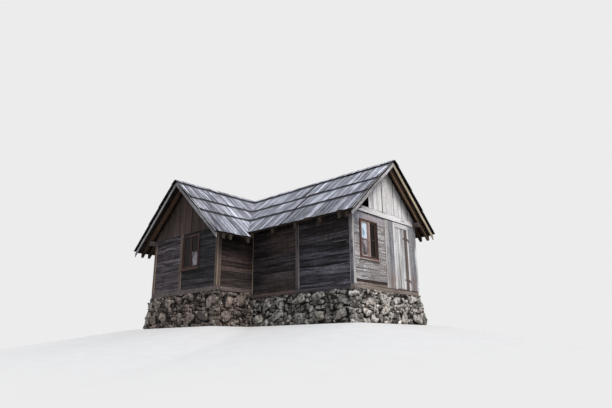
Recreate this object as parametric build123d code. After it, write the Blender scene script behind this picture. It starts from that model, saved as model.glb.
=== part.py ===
from build123d import *
import math
import os

# A weathered mountain hut of posts and hewn planks on dry stone, under a roof of long boards.
# Sizes are in millimetres. The hut is drawn from the near right-hand corner: X runs to the right
# along the long front wall, Y runs to the back and Z starts at the underside of the main sills.
# Every piece is then moved so that the origin is at the middle of the footprint, at its foot.

# Plan: a long room along X and a cross wing along Y at its left-hand end
MAIN_DEPTH = 3310.0
MAIN_FRONT = 4100.0
WING_WIDTH = 3720.0
WING_PROJECTION = 1420.0

# Heights
WALL_HEIGHT = 2200.0
WING_SILL_RISE = 170.0
PLINTH_DEPTH = 870.0

# Dry-stone plinth, proud of the walls and leaning in towards its top
PLINTH_THICK = 420.0
PLINTH_TOE = 190.0
PLINTH_LEDGE = 90.0
STONE_PROUD = 35.0
STONE_STEP = 720.0
STONE_ROWS = 2
STONE_MARGIN = 60.0
STONE_SHARES = (0.46, 0.74)
GOLDEN = 0.618

# Wall timbers
POST = 140.0
CORNER_FACE = 90.0
SILL_HEIGHT = 150.0
PLATE_HEIGHT = 150.0
PLANK_THICK = 90.0
PLANK_INSET = 15.0
ARRIS = 9.0
SEAM = 0.3
PLANK_SHARES = (120, 200, 280, 230, 195, 255, 230, 265, 275)
FRONT_POST_AT = 2034.0
WING_POST_AT = 1950.0
LEFT_POST_AT = 1500.0

# Roof frame
ROOF_PITCH = 42.0
EAVE_OVERHANG = 560.0
VERGE_OVERHANG = 450.0
WING_VERGE_OVERHANG = 540.0
RAFTER_WIDTH = 90.0
RAFTER_DEPTH = 110.0
RAFTER_SPACING = 950.0
RAFTER_SEAT = 50.0
RAFTER_SETBACK = 45.0
FLY_RAFTER_OUT = 190.0
VALLEY_EXTRA = 40.0
VALLEY_WIDTH = 90.0
RIDGE_BEAM_WIDTH = 60.0
RIDGE_BEAM_HEIGHT = 160.0
BEAM_NOSE = 12.0
BATTEN_WIDTH = 70.0
BATTEN_THICK = 35.0
BATTEN_SPACING = 330.0

# Roof boards in four stepped courses
BOARD_THICK = 28.0
COURSE_LAP = 110.0
COURSE_SHARES = (0.122, 0.431, 0.702)
RIDGE_GAP = 14.0
RAKE_THICK = 28.0
RAKE_DEPTH = 130.0
RAKE_INSET = 60.0

# Gables
GABLE_BOARD = 370.0
GABLE_BOARD_THICK = 25.0
BAND_HEIGHT = 185.0
GAP_START = 380.0
GAP_END = 800.0

# Windows
WINDOW_HEIGHT = 1120.0
GABLE_WINDOW_WIDTH = 850.0
GABLE_WINDOW_DROP = 200.0
GABLE_WINDOW_SHARE = 0.311
WING_WINDOW_WIDTH = 950.0
WING_WINDOW_DROP = 75.0
FRAME_FACE = 55.0
FRAME_DEPTH = 110.0
FRAME_PROUD = 12.0
SASH_FACE = 45.0
SASH_DEPTH = 38.0
SASH_SETBACK = 22.0
BAR_FACE = 28.0
GLASS_THICK = 4.0
WINDOW_SILL_HEIGHT = 45.0
WINDOW_SILL_PROUD = 40.0

# Door bay in the right-hand gable
DOOR_WIDTH = 680.0
DOOR_POST = 100.0
DOOR_LINTEL = 150.0
SIDE_BOARD_NEAR = 300.0
SIDE_BOARD_FAR = 250.0
DOOR_BOARDS = 4
DOOR_THICK = 32.0
DOOR_GAP = 8.0
DOOR_SETBACK = 3.0
LEDGE_HEIGHT = 120.0
LEDGE_THICK = 28.0
LEDGE_INSET = 40.0
LEDGE_AT = 300.0

# Strap hinges on iron pintles
HINGE_OUT = 12.0
HINGE_BARREL = 10.0
HINGE_PIN = 6.0
HINGE_HEIGHT = 36.0
STRAP_LENGTH = 260.0
STRAP_THICK = 6.0
ARM_HEIGHT = 16.0
ARM_RADIUS = 9.0
PINTLE_PLATE = 60.0

# Floor
FLOOR_THICK = 35.0
JOIST_WIDTH = 90.0
JOIST_SPACING = 850.0

# Derived places
SLOPE = math.tan(math.radians(ROOF_PITCH))
UPRIGHT = 1.0 / math.cos(math.radians(ROOF_PITCH))
WING_RIGHT = -MAIN_FRONT
WING_LEFT = WING_RIGHT - WING_WIDTH
WING_FRONT = -WING_PROJECTION
BACK = MAIN_DEPTH
INNER_LINE = WING_RIGHT - POST
MAIN_RIDGE = MAIN_DEPTH / 2
WING_RIDGE = WING_RIGHT - WING_WIDTH / 2
WING_DROP = SLOPE * (WING_WIDTH - MAIN_DEPTH) / 2
PLATE_TOP = WALL_HEIGHT + PLATE_HEIGHT
WING_PLATE_TOP = PLATE_TOP - WING_DROP
WING_PLATE_FOOT = WING_PLATE_TOP - PLATE_HEIGHT
UNDERSIDE = PLATE_TOP - RAFTER_SEAT
RAFTER_TOP = UNDERSIDE + UPRIGHT * RAFTER_DEPTH
BOARD_LINE = RAFTER_TOP + UPRIGHT * BATTEN_THICK
RIDGE_BEAM_TOP = RAFTER_TOP + SLOPE * (MAIN_RIDGE - RIDGE_BEAM_WIDTH / 2)
WING_SILL_TOP = WING_SILL_RISE + SILL_HEIGHT
PLANK_BACK = PLANK_INSET + PLANK_THICK
DOOR_END = BACK - POST - SIDE_BOARD_FAR - DOOR_POST
DOOR_START = DOOR_END - DOOR_WIDTH
DOOR_HEAD = WALL_HEIGHT - DOOR_LINTEL
GABLE_POST_AT = DOOR_START - DOOR_POST - SIDE_BOARD_NEAR - POST
GABLE_BAY = GABLE_POST_AT - POST
GABLE_WINDOW_START = POST + GABLE_WINDOW_SHARE * (GABLE_BAY - GABLE_WINDOW_WIDTH)
GABLE_WINDOW_FOOT = WALL_HEIGHT - GABLE_WINDOW_DROP - WINDOW_HEIGHT
WING_WINDOW_FOOT = WING_PLATE_TOP - WING_WINDOW_DROP - WINDOW_HEIGHT
WING_POST_X = WING_RIGHT - WING_POST_AT - POST
SKY = 3 * WALL_HEIGHT

EAVE_LINE = -EAVE_OVERHANG
WING_EAVE = WING_RIGHT + EAVE_OVERHANG
WING_VERGE = WING_FRONT - WING_VERGE_OVERHANG
WING_BACK_VERGE = BACK + WING_VERGE_OVERHANG
VALLEY_FRONT_SUM = WING_RIDGE + MAIN_RIDGE
VALLEY_BACK_DIFFERENCE = WING_RIDGE - MAIN_RIDGE

SPAN_LOW = (WING_LEFT - EAVE_OVERHANG, WING_VERGE)
SPAN_HIGH = (VERGE_OVERHANG, BACK + EAVE_OVERHANG)
ORIGIN = ((SPAN_LOW[0] + SPAN_HIGH[0]) / 2, (SPAN_LOW[1] + SPAN_HIGH[1]) / 2, -PLINTH_DEPTH)

pieces = {}


def keep(name, *shapes):
    """File the solids of some shapes under a node's name."""
    for shape in shapes:
        pieces.setdefault(name, []).extend(shape.solids())


def block(x, y, z):
    """A plain box between pairs of coordinates."""
    low = [min(pair) for pair in (x, y, z)]
    size = [max(pair) - min(pair) for pair in (x, y, z)]
    return Pos(*low) * Box(*size, align=(Align.MIN, Align.MIN, Align.MIN))


def timber(x, y, z, arris=ARRIS):
    """A squared timber with its four long edges taken off."""
    size = [max(pair) - min(pair) for pair in (x, y, z)]
    axis = (Axis.X, Axis.Y, Axis.Z)[size.index(max(size))]
    return chamfer(block(x, y, z).edges().filter_by(axis), arris)


def prism(points, way):
    """Push a flat outline of (x, y, z) points along a vector."""
    face = Face(Wire.make_polygon([Vector(*point) for point in points], close=True))
    return Solid.extrude(face, Vector(*way))


def column(outline):
    """A tall prism over an outline on the plan, used to trim roof pieces."""
    return prism([(x, y, 0) for x, y in outline], (0, 0, SKY))


class Slope:
    """One side of a roof. u runs inwards from the wall's face and w along the eave."""

    def __init__(self, run, wall, inward, half, drop):
        self.run = run
        self.wall = wall
        self.inward = inward
        self.half = half
        self.drop = drop

    def bar(self, section, start, end):
        """Push a section of (u, z) points along the eave."""
        points = []
        for u, z in section:
            across = self.wall + self.inward * u
            place = (start, across) if self.run == "x" else (across, start)
            points.append((*place, z - self.drop))
        way = (end - start, 0, 0) if self.run == "x" else (0, end - start, 0)
        return prism(points, way)

    def rafter(self, w, low=None, high=None):
        """A rafter with plumb ends, centred on w."""
        low = -EAVE_OVERHANG + RAFTER_SETBACK if low is None else low
        high = self.half - RIDGE_BEAM_WIDTH / 2 if high is None else high
        section = [
            (low, UNDERSIDE + SLOPE * low),
            (high, UNDERSIDE + SLOPE * high),
            (high, RAFTER_TOP + SLOPE * high),
            (low, RAFTER_TOP + SLOPE * low),
        ]
        return self.bar(section, w - RAFTER_WIDTH / 2, w + RAFTER_WIDTH / 2)

    def battens(self, start, end):
        """Battens laid along the slope from eave to ridge."""
        width = BATTEN_WIDTH / UPRIGHT
        first = -EAVE_OVERHANG + RAFTER_SETBACK
        last = self.half - RIDGE_BEAM_WIDTH - width
        count = max(2, round((last - first) / BATTEN_SPACING) + 1)
        bars = []
        for index in range(count):
            low = first + (last - first) * index / (count - 1)
            high = low + width
            section = [
                (low, RAFTER_TOP + SLOPE * low),
                (high, RAFTER_TOP + SLOPE * high),
                (high, BOARD_LINE + SLOPE * high),
                (low, BOARD_LINE + SLOPE * low),
            ]
            bars.append(self.bar(section, start, end))
        return bars

    def courses(self, start, end):
        """Four courses of boards, each lapping over the head of the one below."""
        thick = UPRIGHT * BOARD_THICK
        run = MAIN_RIDGE + EAVE_OVERHANG
        butts = [self.half - share * run for share in reversed(COURSE_SHARES)]
        feet = [-EAVE_OVERHANG, *butts]
        heads = [butt + COURSE_LAP for butt in butts] + [self.half - RIDGE_GAP / 2]
        slabs = []
        lift = 0.0
        for index, (foot, head) in enumerate(zip(feet, heads)):
            if index:
                below = heads[index - 1] - feet[index - 1]
                over_foot = thick + lift * COURSE_LAP / below
                over_head = thick * (head - foot) / (head - foot - COURSE_LAP)
                lift = max(over_foot, over_head) + SEAM
            section = [
                (foot, BOARD_LINE + SLOPE * foot + lift),
                (head, BOARD_LINE + SLOPE * head),
                (head, BOARD_LINE + SLOPE * head + thick),
                (foot, BOARD_LINE + SLOPE * foot + lift + thick),
            ]
            slabs.append(self.bar(section, start, end))
        return slabs


SLOPES = {
    "main_front": Slope("x", 0, 1, MAIN_RIDGE, 0),
    "main_back": Slope("x", BACK, -1, MAIN_RIDGE, 0),
    "wing_left": Slope("y", WING_LEFT, 1, WING_WIDTH / 2, WING_DROP),
    "wing_right": Slope("y", WING_RIGHT, -1, WING_WIDTH / 2, WING_DROP),
}


def valley_front_x(y):
    """Where the front valley crosses a line at depth y."""
    return VALLEY_FRONT_SUM - y


def valley_back_x(y):
    """Where the back valley crosses a line at depth y."""
    return VALLEY_BACK_DIFFERENCE + y


def plan_of_slopes(gap):
    """Outlines on the plan that each slope keeps, gap away from the valley lines."""
    shift = gap * math.sqrt(2)
    back_eave = BACK + EAVE_OVERHANG
    front_cut = valley_front_x(EAVE_LINE)
    back_cut = valley_back_x(back_eave)
    front_tip = (WING_RIDGE + shift, MAIN_RIDGE)
    return {
        "main_front": [
            [
                front_tip,
                (front_cut + shift, EAVE_LINE),
                (VERGE_OVERHANG, EAVE_LINE),
                (VERGE_OVERHANG, MAIN_RIDGE),
            ]
        ],
        "main_back": [
            [
                front_tip,
                (back_cut + shift, back_eave),
                (VERGE_OVERHANG, back_eave),
                (VERGE_OVERHANG, MAIN_RIDGE),
            ]
        ],
        "wing_left": [
            [
                (WING_LEFT - EAVE_OVERHANG, WING_VERGE),
                (WING_RIDGE, WING_VERGE),
                (WING_RIDGE, WING_BACK_VERGE),
                (WING_LEFT - EAVE_OVERHANG, WING_BACK_VERGE),
            ]
        ],
        "wing_right": [
            [
                (WING_RIDGE, WING_VERGE),
                (WING_EAVE, WING_VERGE),
                (WING_EAVE, EAVE_LINE - gap),
                (valley_front_x(EAVE_LINE - gap) - shift, EAVE_LINE - gap),
                (WING_RIDGE, MAIN_RIDGE - shift),
            ],
            [
                (WING_RIDGE, MAIN_RIDGE + shift),
                (valley_back_x(WING_BACK_VERGE) - shift, WING_BACK_VERGE),
                (WING_RIDGE, WING_BACK_VERGE),
            ],
        ],
    }


def trimmed(shape, outline):
    """The part of a shape over an outline of the plan, as solids."""
    left = shape & column(outline)
    return left.solids() if left else []


def plinth_reach(height):
    """How far the largest stones stand out of the wall's face at a height."""
    return PLINTH_LEDGE - (PLINTH_TOE - PLINTH_LEDGE) / PLINTH_DEPTH * height


def main_stones(start, along, out, first, last, top):
    """The largest stones of one run: uneven blocks in rows, proud of its face."""
    columns = max(1, round((last - first) / STONE_STEP))
    wide = (last - first) / columns
    tall = (top + PLINTH_DEPTH) / STONE_ROWS
    least, spread = STONE_SHARES[0], STONE_SHARES[1] - STONE_SHARES[0]
    stones = []
    for index in range(columns * STONE_ROWS):
        column_at, row_at = divmod(index, STONE_ROWS)
        vary = (index + 1) * GOLDEN % 1
        other = (index + 1) * GOLDEN * GOLDEN % 1
        width = wide * (least + spread * vary)
        height = tall * (least + spread * other)
        low = first + wide * column_at + (wide - width) * other
        foot = tall * row_at - PLINTH_DEPTH + (tall - height) * vary
        slant = height * (vary - 0.5) / 4
        lean = width * (other - 0.5) / 4
        outline = [
            (low, foot + abs(slant) + slant),
            (low + width, foot + abs(slant) - slant),
            (low + width - abs(lean) + lean, foot + height),
            (low + abs(lean) + lean, foot + height - abs(slant)),
        ]
        points = []
        for distance, z in outline:
            point = Vector(*start) + along * distance + out * plinth_reach(z)
            points.append((point.X, point.Y, z))
        stones.append(prism(points, tuple(out * (-3 * STONE_PROUD))))
    return stones


def plinth():
    """Seven battered runs of dry stone, mitred at the outer corners."""
    inner = PLINTH_LEDGE - PLINTH_THICK

    def run(start, end, mitres, top, hidden=(0, 0)):
        """One run from start to end, outwards to the right of its direction."""
        along = (Vector(*end) - Vector(*start)).normalized()
        out = Vector(along.Y, -along.X)
        sections = []
        for height in (-PLINTH_DEPTH, top):
            reach = plinth_reach(height) - STONE_PROUD
            corners = []
            for place, side, distance in (
                (start, -mitres[0], reach),
                (end, mitres[1], reach),
                (end, mitres[1], inner),
                (start, -mitres[0], inner),
            ):
                point = Vector(*place) + out * distance + along * (side * distance)
                corners.append(Vector(point.X, point.Y, height))
            sections.append(Wire.make_polygon(corners, close=True))
        first = hidden[0] + STONE_MARGIN
        last = (Vector(*end) - Vector(*start)).length - hidden[1] - STONE_MARGIN
        stones = main_stones(start, along, out, first, last, top)
        return (Solid.make_loft(sections, ruled=True) + stones).solids()[0]

    corner = (WING_RIGHT, WING_FRONT)
    left_front = (WING_LEFT, WING_FRONT)
    left_back = (WING_LEFT, BACK)
    joint = (INNER_LINE, BACK)
    front = run((WING_RIGHT + inner, 0), (0, 0), (0, 1), 0, (PLINTH_TOE - inner, 0))
    side = run(corner, (WING_RIGHT, -SEAM), (1, 0), WING_SILL_RISE, (0, PLINTH_TOE))
    keep("plinth_front", front)
    keep("plinth_gable", run((0, 0), (0, BACK), (1, 1), 0))
    keep("plinth_back", run((0, BACK), joint, (1, 0), 0))
    keep("plinth_wing_back", run(joint, left_back, (0, 1), WING_SILL_RISE))
    keep("plinth_left", run(left_back, left_front, (1, 1), WING_SILL_RISE))
    keep("plinth_wing_front", run(left_front, corner, (1, 1), WING_SILL_RISE))
    keep("plinth_wing_side", side - front)


def sills():
    """Squared beams bedded on the stone."""
    main = (0, SILL_HEIGHT)
    wing = (WING_SILL_RISE, WING_SILL_TOP)
    front = (WING_FRONT, WING_FRONT + POST)
    inside = (WING_FRONT + POST + SEAM, BACK - POST - SEAM)
    left = (WING_LEFT, WING_LEFT + POST)
    keep("sills_main", timber((-POST, 0), (0, BACK), main))
    keep("sills_main", timber((WING_RIGHT + SEAM, -POST - SEAM), (0, POST), main))
    keep("sills_main", timber((WING_RIGHT + SEAM, -POST - SEAM), (BACK - POST, BACK), main))
    keep("sills_wing", timber((WING_LEFT, WING_RIGHT), front, wing))
    keep("sills_wing", timber(left, inside, wing))
    keep("sills_wing", timber((WING_LEFT, INNER_LINE - SEAM), (BACK - POST, BACK), wing))
    keep("sills_wing", timber((INNER_LINE, WING_RIGHT), (WING_FRONT + POST + SEAM, -SEAM), wing))


def posts():
    """Corner posts and the posts that divide the long walls."""
    front = (0, POST)
    back = (BACK - POST, BACK)
    right = (-POST, 0)
    inner = (INNER_LINE, WING_RIGHT)
    left = (WING_LEFT, WING_LEFT + POST)
    wing_front = (WING_FRONT, WING_FRONT + POST)
    middle = (-FRONT_POST_AT - POST, -FRONT_POST_AT)
    main = (SILL_HEIGHT, WALL_HEIGHT)
    wing = (WING_SILL_TOP, WING_PLATE_FOOT)
    gable = (WING_SILL_TOP, WING_PLATE_TOP)
    wing_middle = (WING_POST_X, WING_POST_X + POST)
    for x, y in ((right, (0, CORNER_FACE)), (right, back), (middle, front), (middle, back)):
        keep("posts_main", timber(x, y, main))
    keep("posts_main", timber(right, (GABLE_POST_AT, GABLE_POST_AT + POST), main))
    keep("posts_wing", timber(inner, front, (0, WALL_HEIGHT)))
    junction = timber(inner, back, (0, WALL_HEIGHT))
    keep("posts_wing", junction)
    for x, y in ((inner, wing_front), (left, wing_front), (left, back)):
        keep("posts_wing", timber(x, y, wing))
    keep("posts_wing", timber(left, (LEFT_POST_AT, LEFT_POST_AT + POST), wing))
    for y in (wing_front, back):
        keep("posts_wing", timber(wing_middle, y, gable))
    return junction


def levels_between(low, high):
    """Heights of the seams of one stack, by the shares of the old hewn planks."""
    step = (high - low) / sum(PLANK_SHARES)
    levels = [low]
    for share in PLANK_SHARES:
        levels.append(levels[-1] + share * step)
    return levels


def beside_window(start, end, bottom, top, window):
    """Split one plank's place round an opening given as (start, end, foot, head)."""
    left, right, foot, head = window
    least = 3 * ARRIS
    spans = []
    if left - start > least:
        spans.append((start, left - SEAM, bottom, top))
    if end - right > least:
        spans.append((right + SEAM, end, bottom, top))
    if foot - bottom > least:
        spans.append((left, right, bottom, foot - SEAM))
    if top - head > least:
        spans.append((left, right, head + SEAM, top))
    return spans


def plank_stack(name, run, wall, inward, start, end, low, high, window=None):
    """Stack hewn planks between two uprights of the wall whose outer face is at wall."""
    deep = (wall + inward * PLANK_INSET, wall + inward * PLANK_BACK)
    levels = levels_between(low, high)
    for lower, upper in zip(levels, levels[1:]):
        bottom, top = lower + SEAM, upper - SEAM
        spans = [(start + SEAM, end - SEAM, bottom, top)]
        if window and top > window[2] and bottom < window[3]:
            spans = beside_window(start + SEAM, end - SEAM, bottom, top, window)
        for first, last, foot, head in spans:
            place = ((first, last), deep) if run == "x" else (deep, (first, last))
            keep(name, timber(*place, (foot, head)))


def walls():
    """Every bay of planks."""
    main = (SILL_HEIGHT, WALL_HEIGHT)
    middle = -FRONT_POST_AT
    gable_window = (
        GABLE_WINDOW_START,
        GABLE_WINDOW_START + GABLE_WINDOW_WIDTH,
        GABLE_WINDOW_FOOT,
        GABLE_WINDOW_FOOT + WINDOW_HEIGHT,
    )
    plank_stack("wall_front", "x", 0, 1, WING_RIGHT, middle - POST, *main)
    plank_stack("wall_front", "x", 0, 1, middle, -POST, *main)
    plank_stack("wall_back", "x", BACK, -1, WING_RIGHT, middle - POST, *main)
    plank_stack("wall_back", "x", BACK, -1, middle, -POST, *main)
    plank_stack("wall_gable", "y", 0, -1, CORNER_FACE, GABLE_POST_AT, *main, gable_window)

    sides = (WING_SILL_TOP, WING_PLATE_FOOT)
    gables = (WING_SILL_TOP, WING_PLATE_TOP)
    left = WING_LEFT + POST
    post = WING_POST_X
    window_start = post + POST
    wing_window = (
        window_start,
        window_start + WING_WINDOW_WIDTH,
        WING_WINDOW_FOOT,
        WING_WINDOW_FOOT + WINDOW_HEIGHT,
    )
    plank_stack("wall_wing_front", "x", WING_FRONT, 1, left, post, *gables)
    plank_stack("wall_wing_front", "x", WING_FRONT, 1, window_start, INNER_LINE, *gables, wing_window)
    plank_stack("wall_wing_back", "x", BACK, -1, left, post, *gables)
    plank_stack("wall_wing_back", "x", BACK, -1, window_start, INNER_LINE, *gables)
    plank_stack("wall_left", "y", WING_LEFT, 1, WING_FRONT + POST, LEFT_POST_AT, *sides)
    plank_stack("wall_left", "y", WING_LEFT, 1, LEFT_POST_AT + POST, BACK - POST, *sides)
    plank_stack("wall_wing_side", "y", WING_RIGHT, -1, WING_FRONT + POST, 0, *sides)


def door_bay():
    """Posts, head and upright boards round the doorway in the right-hand gable."""
    deep = (-POST, 0)
    skin = (-GABLE_BOARD_THICK, 0)
    high = (SILL_HEIGHT, WALL_HEIGHT)
    first = (DOOR_START - DOOR_POST, DOOR_START)
    second = (DOOR_END, DOOR_END + DOOR_POST)
    keep("door_frame", timber(deep, first, high), timber(deep, second, high))
    keep("door_frame", timber(deep, (DOOR_START + SEAM, DOOR_END - SEAM), (DOOR_HEAD, WALL_HEIGHT)))
    left = (GABLE_POST_AT + POST + SEAM, first[0] - SEAM)
    right = (second[1] + SEAM, BACK)
    for x, y in ((skin, left), ((SEAM, GABLE_BOARD_THICK), right)):
        keep("door_side_boards", block(x, y, (SILL_HEIGHT + SEAM, WALL_HEIGHT - SEAM)))


def door():
    """A ledged door of upright boards with two strap hinges."""
    outer = -DOOR_SETBACK
    inner = outer - DOOR_THICK
    start = DOOR_START + DOOR_GAP
    end = DOOR_END - DOOR_GAP
    low = SILL_HEIGHT + DOOR_GAP
    high = DOOR_HEAD - DOOR_GAP
    board = (end - start) / DOOR_BOARDS
    for index in range(DOOR_BOARDS):
        left = start + index * board
        right = left + board - SEAM
        keep("door_leaf", block((inner, outer), (left, right), (low, high)))
    hinge_y = DOOR_END - DOOR_GAP / 2
    for middle in (low + LEDGE_AT, high - LEDGE_AT):
        ledge = (middle - LEDGE_HEIGHT / 2, middle + LEDGE_HEIGHT / 2)
        keep("door_ledges", timber((inner - LEDGE_THICK, inner), (start + LEDGE_INSET, end - LEDGE_INSET), ledge))
        foot = middle - HINGE_HEIGHT / 2
        hinge(foot, hinge_y, end, outer)


def hinge(foot, hinge_y, leaf_edge, leaf_face):
    """One strap with its barrel, and the pintle that carries it."""
    high = (foot, foot + HINGE_HEIGHT)
    strap = block((leaf_face, leaf_face + STRAP_THICK), (leaf_edge - STRAP_LENGTH, leaf_edge), high)
    neck = block((leaf_face, HINGE_OUT), (hinge_y - 2 * HINGE_BARREL, hinge_y - HINGE_BARREL / 2), high)
    middle = foot + HINGE_HEIGHT / 2
    barrel = Pos(HINGE_OUT, hinge_y, middle) * Cylinder(HINGE_BARREL, HINGE_HEIGHT)
    bore = Pos(HINGE_OUT, hinge_y, middle) * Cylinder(HINGE_PIN + SEAM, 2 * HINGE_HEIGHT)
    keep("door_hinges", strap + neck + barrel - bore)

    top = foot - SEAM
    pin_height = ARM_HEIGHT + HINGE_HEIGHT
    pin = Pos(HINGE_OUT, hinge_y, top - ARM_HEIGHT + pin_height / 2) * Cylinder(HINGE_PIN, pin_height)
    arm = Pos(HINGE_OUT, hinge_y, top - ARM_HEIGHT / 2) * Cylinder(ARM_RADIUS, ARM_HEIGHT)
    reach = (hinge_y, DOOR_END + DOOR_POST / 2)
    foot_of_arm = (top - ARM_HEIGHT, top)
    web = block((0, HINGE_OUT + ARM_RADIUS), reach, foot_of_arm)
    web = web - block((0, HINGE_OUT - ARM_RADIUS), (hinge_y, DOOR_END), foot_of_arm)
    plate = block(
        (0, STRAP_THICK),
        (DOOR_END + DOOR_POST / 2 - STRAP_THICK, DOOR_END + DOOR_POST - ARRIS),
        (top - PINTLE_PLATE, top),
    )
    keep("door_pintles", pin + arm + web + plate)


def window(name, place, start, foot, width):
    """A two-light casement window. place turns (along, out, z) pairs into a box."""
    end = start + width
    head = foot + WINDOW_HEIGHT
    out = (FRAME_PROUD - FRAME_DEPTH, FRAME_PROUD)
    outer = place((start + SEAM, end - SEAM), out, (foot + SEAM, head - SEAM))
    inside = (start + FRAME_FACE, end - FRAME_FACE)
    light = (foot + FRAME_FACE, head - FRAME_FACE)
    through = (FRAME_PROUD - 2 * FRAME_DEPTH, FRAME_PROUD + FRAME_DEPTH)
    keep(f"{name}_frame", outer - place(inside, through, light))
    sill_out = (FRAME_PROUD + SEAM, FRAME_PROUD + WINDOW_SILL_PROUD)
    keep(f"{name}_frame", place((start - FRAME_FACE, end + FRAME_FACE), sill_out, (foot - WINDOW_SILL_HEIGHT, foot)))
    face = FRAME_PROUD - SASH_SETBACK
    depth = (face - SASH_DEPTH, face)
    middle = (start + end) / 2
    pane = (face - SASH_DEPTH / 2 - GLASS_THICK / 2, face - SASH_DEPTH / 2 + GLASS_THICK / 2)
    for left, right in ((inside[0] + SEAM, middle - SEAM / 2), (middle + SEAM / 2, inside[1] - SEAM)):
        sash = place((left, right), depth, (light[0] + SEAM, light[1] - SEAM))
        low = light[0] + SASH_FACE
        high = light[1] - SASH_FACE
        bar = (low + high) / 2
        for bottom, top in ((low, bar - BAR_FACE / 2), (bar + BAR_FACE / 2, high)):
            glazed = (left + SASH_FACE, right - SASH_FACE)
            sash = sash - place(glazed, through, (bottom, top))
            keep(f"{name}_glass", place(
                (glazed[0] + SEAM, glazed[1] - SEAM),
                pane,
                (bottom + SEAM, top - SEAM),
            ))
        keep(f"{name}_sashes", sash)


def windows():
    """The window in the right-hand gable and the one in the wing's front."""

    def on_gable(along, out, z):
        return block(out, along, z)

    def on_wing(along, out, z):
        return block(along, (WING_FRONT - out[1], WING_FRONT - out[0]), z)

    window("gable_window", on_gable, GABLE_WINDOW_START, GABLE_WINDOW_FOOT, GABLE_WINDOW_WIDTH)
    window("wing_window", on_wing, WING_POST_X + POST, WING_WINDOW_FOOT, WING_WINDOW_WIDTH)


def plates():
    """Wall plates, which run on past the gables to carry the outer rafters."""
    main_end = FLY_RAFTER_OUT + RAFTER_WIDTH / 2 + BEAM_NOSE
    wing_ends = (WING_FRONT - main_end, BACK + main_end)
    main = (WALL_HEIGHT, PLATE_TOP)
    wing = (WING_PLATE_FOOT, WING_PLATE_TOP)
    beams = [
        block((INNER_LINE, main_end), (0, POST), main),
        block((INNER_LINE, main_end), (BACK - POST, BACK), main),
        block((WING_LEFT, WING_LEFT + POST), wing_ends, wing),
        block((INNER_LINE, WING_RIGHT), (wing_ends[0], -SEAM), wing),
    ]
    keep("wall_plates", *beams)
    keep("wall_plates", block((-POST, 0), (POST + SEAM, BACK - POST - SEAM), main))
    keep("gable_main", block(
        (SEAM, GABLE_BOARD_THICK),
        (POST + SEAM, BACK - POST - SEAM),
        (WALL_HEIGHT, WALL_HEIGHT + BAND_HEIGHT),
    ))
    return beams


def ridge_beams():
    """Two ridge beams, the long one butting against the wing's."""
    nose = FLY_RAFTER_OUT + RAFTER_WIDTH / 2 + BEAM_NOSE
    high = (RIDGE_BEAM_TOP - RIDGE_BEAM_HEIGHT, RIDGE_BEAM_TOP)
    half = RIDGE_BEAM_WIDTH / 2
    across = (MAIN_RIDGE - half, MAIN_RIDGE + half)
    beams = [
        block((WING_RIDGE + half + SEAM, nose), across, high),
        block((WING_RIDGE - half, WING_RIDGE + half), (WING_FRONT - nose, BACK + nose), high),
    ]
    keep("ridge_beams", *beams)
    return beams


def valley_rafters(beams):
    """Two diagonal rafters under the valleys."""
    half = VALLEY_WIDTH / 2 * math.sqrt(2)
    clear = RIDGE_BEAM_WIDTH / 2 + SEAM
    low = EAVE_LINE + RAFTER_SETBACK + VALLEY_WIDTH
    high = MAIN_RIDGE - clear
    bottom = UNDERSIDE - VALLEY_EXTRA
    found = []
    for mirror in (False, True):
        points = []
        for y, base in ((low, bottom), (high + half, bottom), (high + half, RAFTER_TOP), (low, RAFTER_TOP)):
            points.append((valley_front_x(y) - half, y, base + SLOPE * y))
        bar = prism(points, (2 * half, 0, 0))
        limits = (WING_RIDGE + clear, WING_EAVE), (2 * EAVE_LINE, high), (0, SKY)
        bar = (bar & block(*limits)).solids()[0]
        if mirror:
            bar = bar.mirror(Plane((0, MAIN_RIDGE, 0), z_dir=(0, 1, 0)))
        for beam in beams:
            bar = bar - beam
        found.append(bar)
    keep("valley_rafters", *found)
    return found


def rafters(beams):
    """Common rafters, and jack rafters cut against the valleys."""
    plan = plan_of_slopes(VALLEY_WIDTH / 2 + SEAM)
    gable_rafter = GABLE_BOARD_THICK + RAFTER_WIDTH / 2 + SEAM
    main = [FLY_RAFTER_OUT, -gable_rafter]
    place = FLY_RAFTER_OUT - RAFTER_SPACING
    while place > WING_RIDGE + RAFTER_WIDTH + RIDGE_BEAM_WIDTH:
        main.append(place)
        place -= RAFTER_SPACING
    wing = [WING_FRONT - FLY_RAFTER_OUT, WING_FRONT + gable_rafter]
    place = WING_FRONT - FLY_RAFTER_OUT + RAFTER_SPACING
    while place < BACK - gable_rafter - RAFTER_WIDTH:
        wing.append(place)
        place += RAFTER_SPACING
    wing += [BACK - gable_rafter, BACK + FLY_RAFTER_OUT]
    for name, slope in SLOPES.items():
        node = "rafters_" + name.split("_")[0]
        for place in main if slope.run == "x" else wing:
            rafter = slope.rafter(place)
            for beam in beams:
                rafter = rafter - beam
            for outline in plan[name]:
                for solid in trimmed(rafter, outline):
                    if solid.volume > RAFTER_WIDTH * RAFTER_DEPTH * RAFTER_DEPTH:
                        keep(node, solid)


def roof_covering():
    """Battens and the four courses of boards on every slope."""
    battens = plan_of_slopes(SEAM)
    boards = plan_of_slopes(SEAM)
    for name, slope in SLOPES.items():
        if slope.run == "x":
            span = (WING_RIDGE, VERGE_OVERHANG)
        else:
            span = (WING_VERGE, WING_BACK_VERGE)
        for outline in battens[name]:
            inset = RAKE_INSET + RAKE_THICK + SEAM
            for bar in slope.battens(span[0] + inset, span[1] - inset):
                keep("battens_" + name.split("_")[0], *trimmed(bar, outline))
        for outline in boards[name]:
            for slab in slope.courses(*span):
                keep("roof_" + name, *trimmed(slab, outline))


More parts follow.
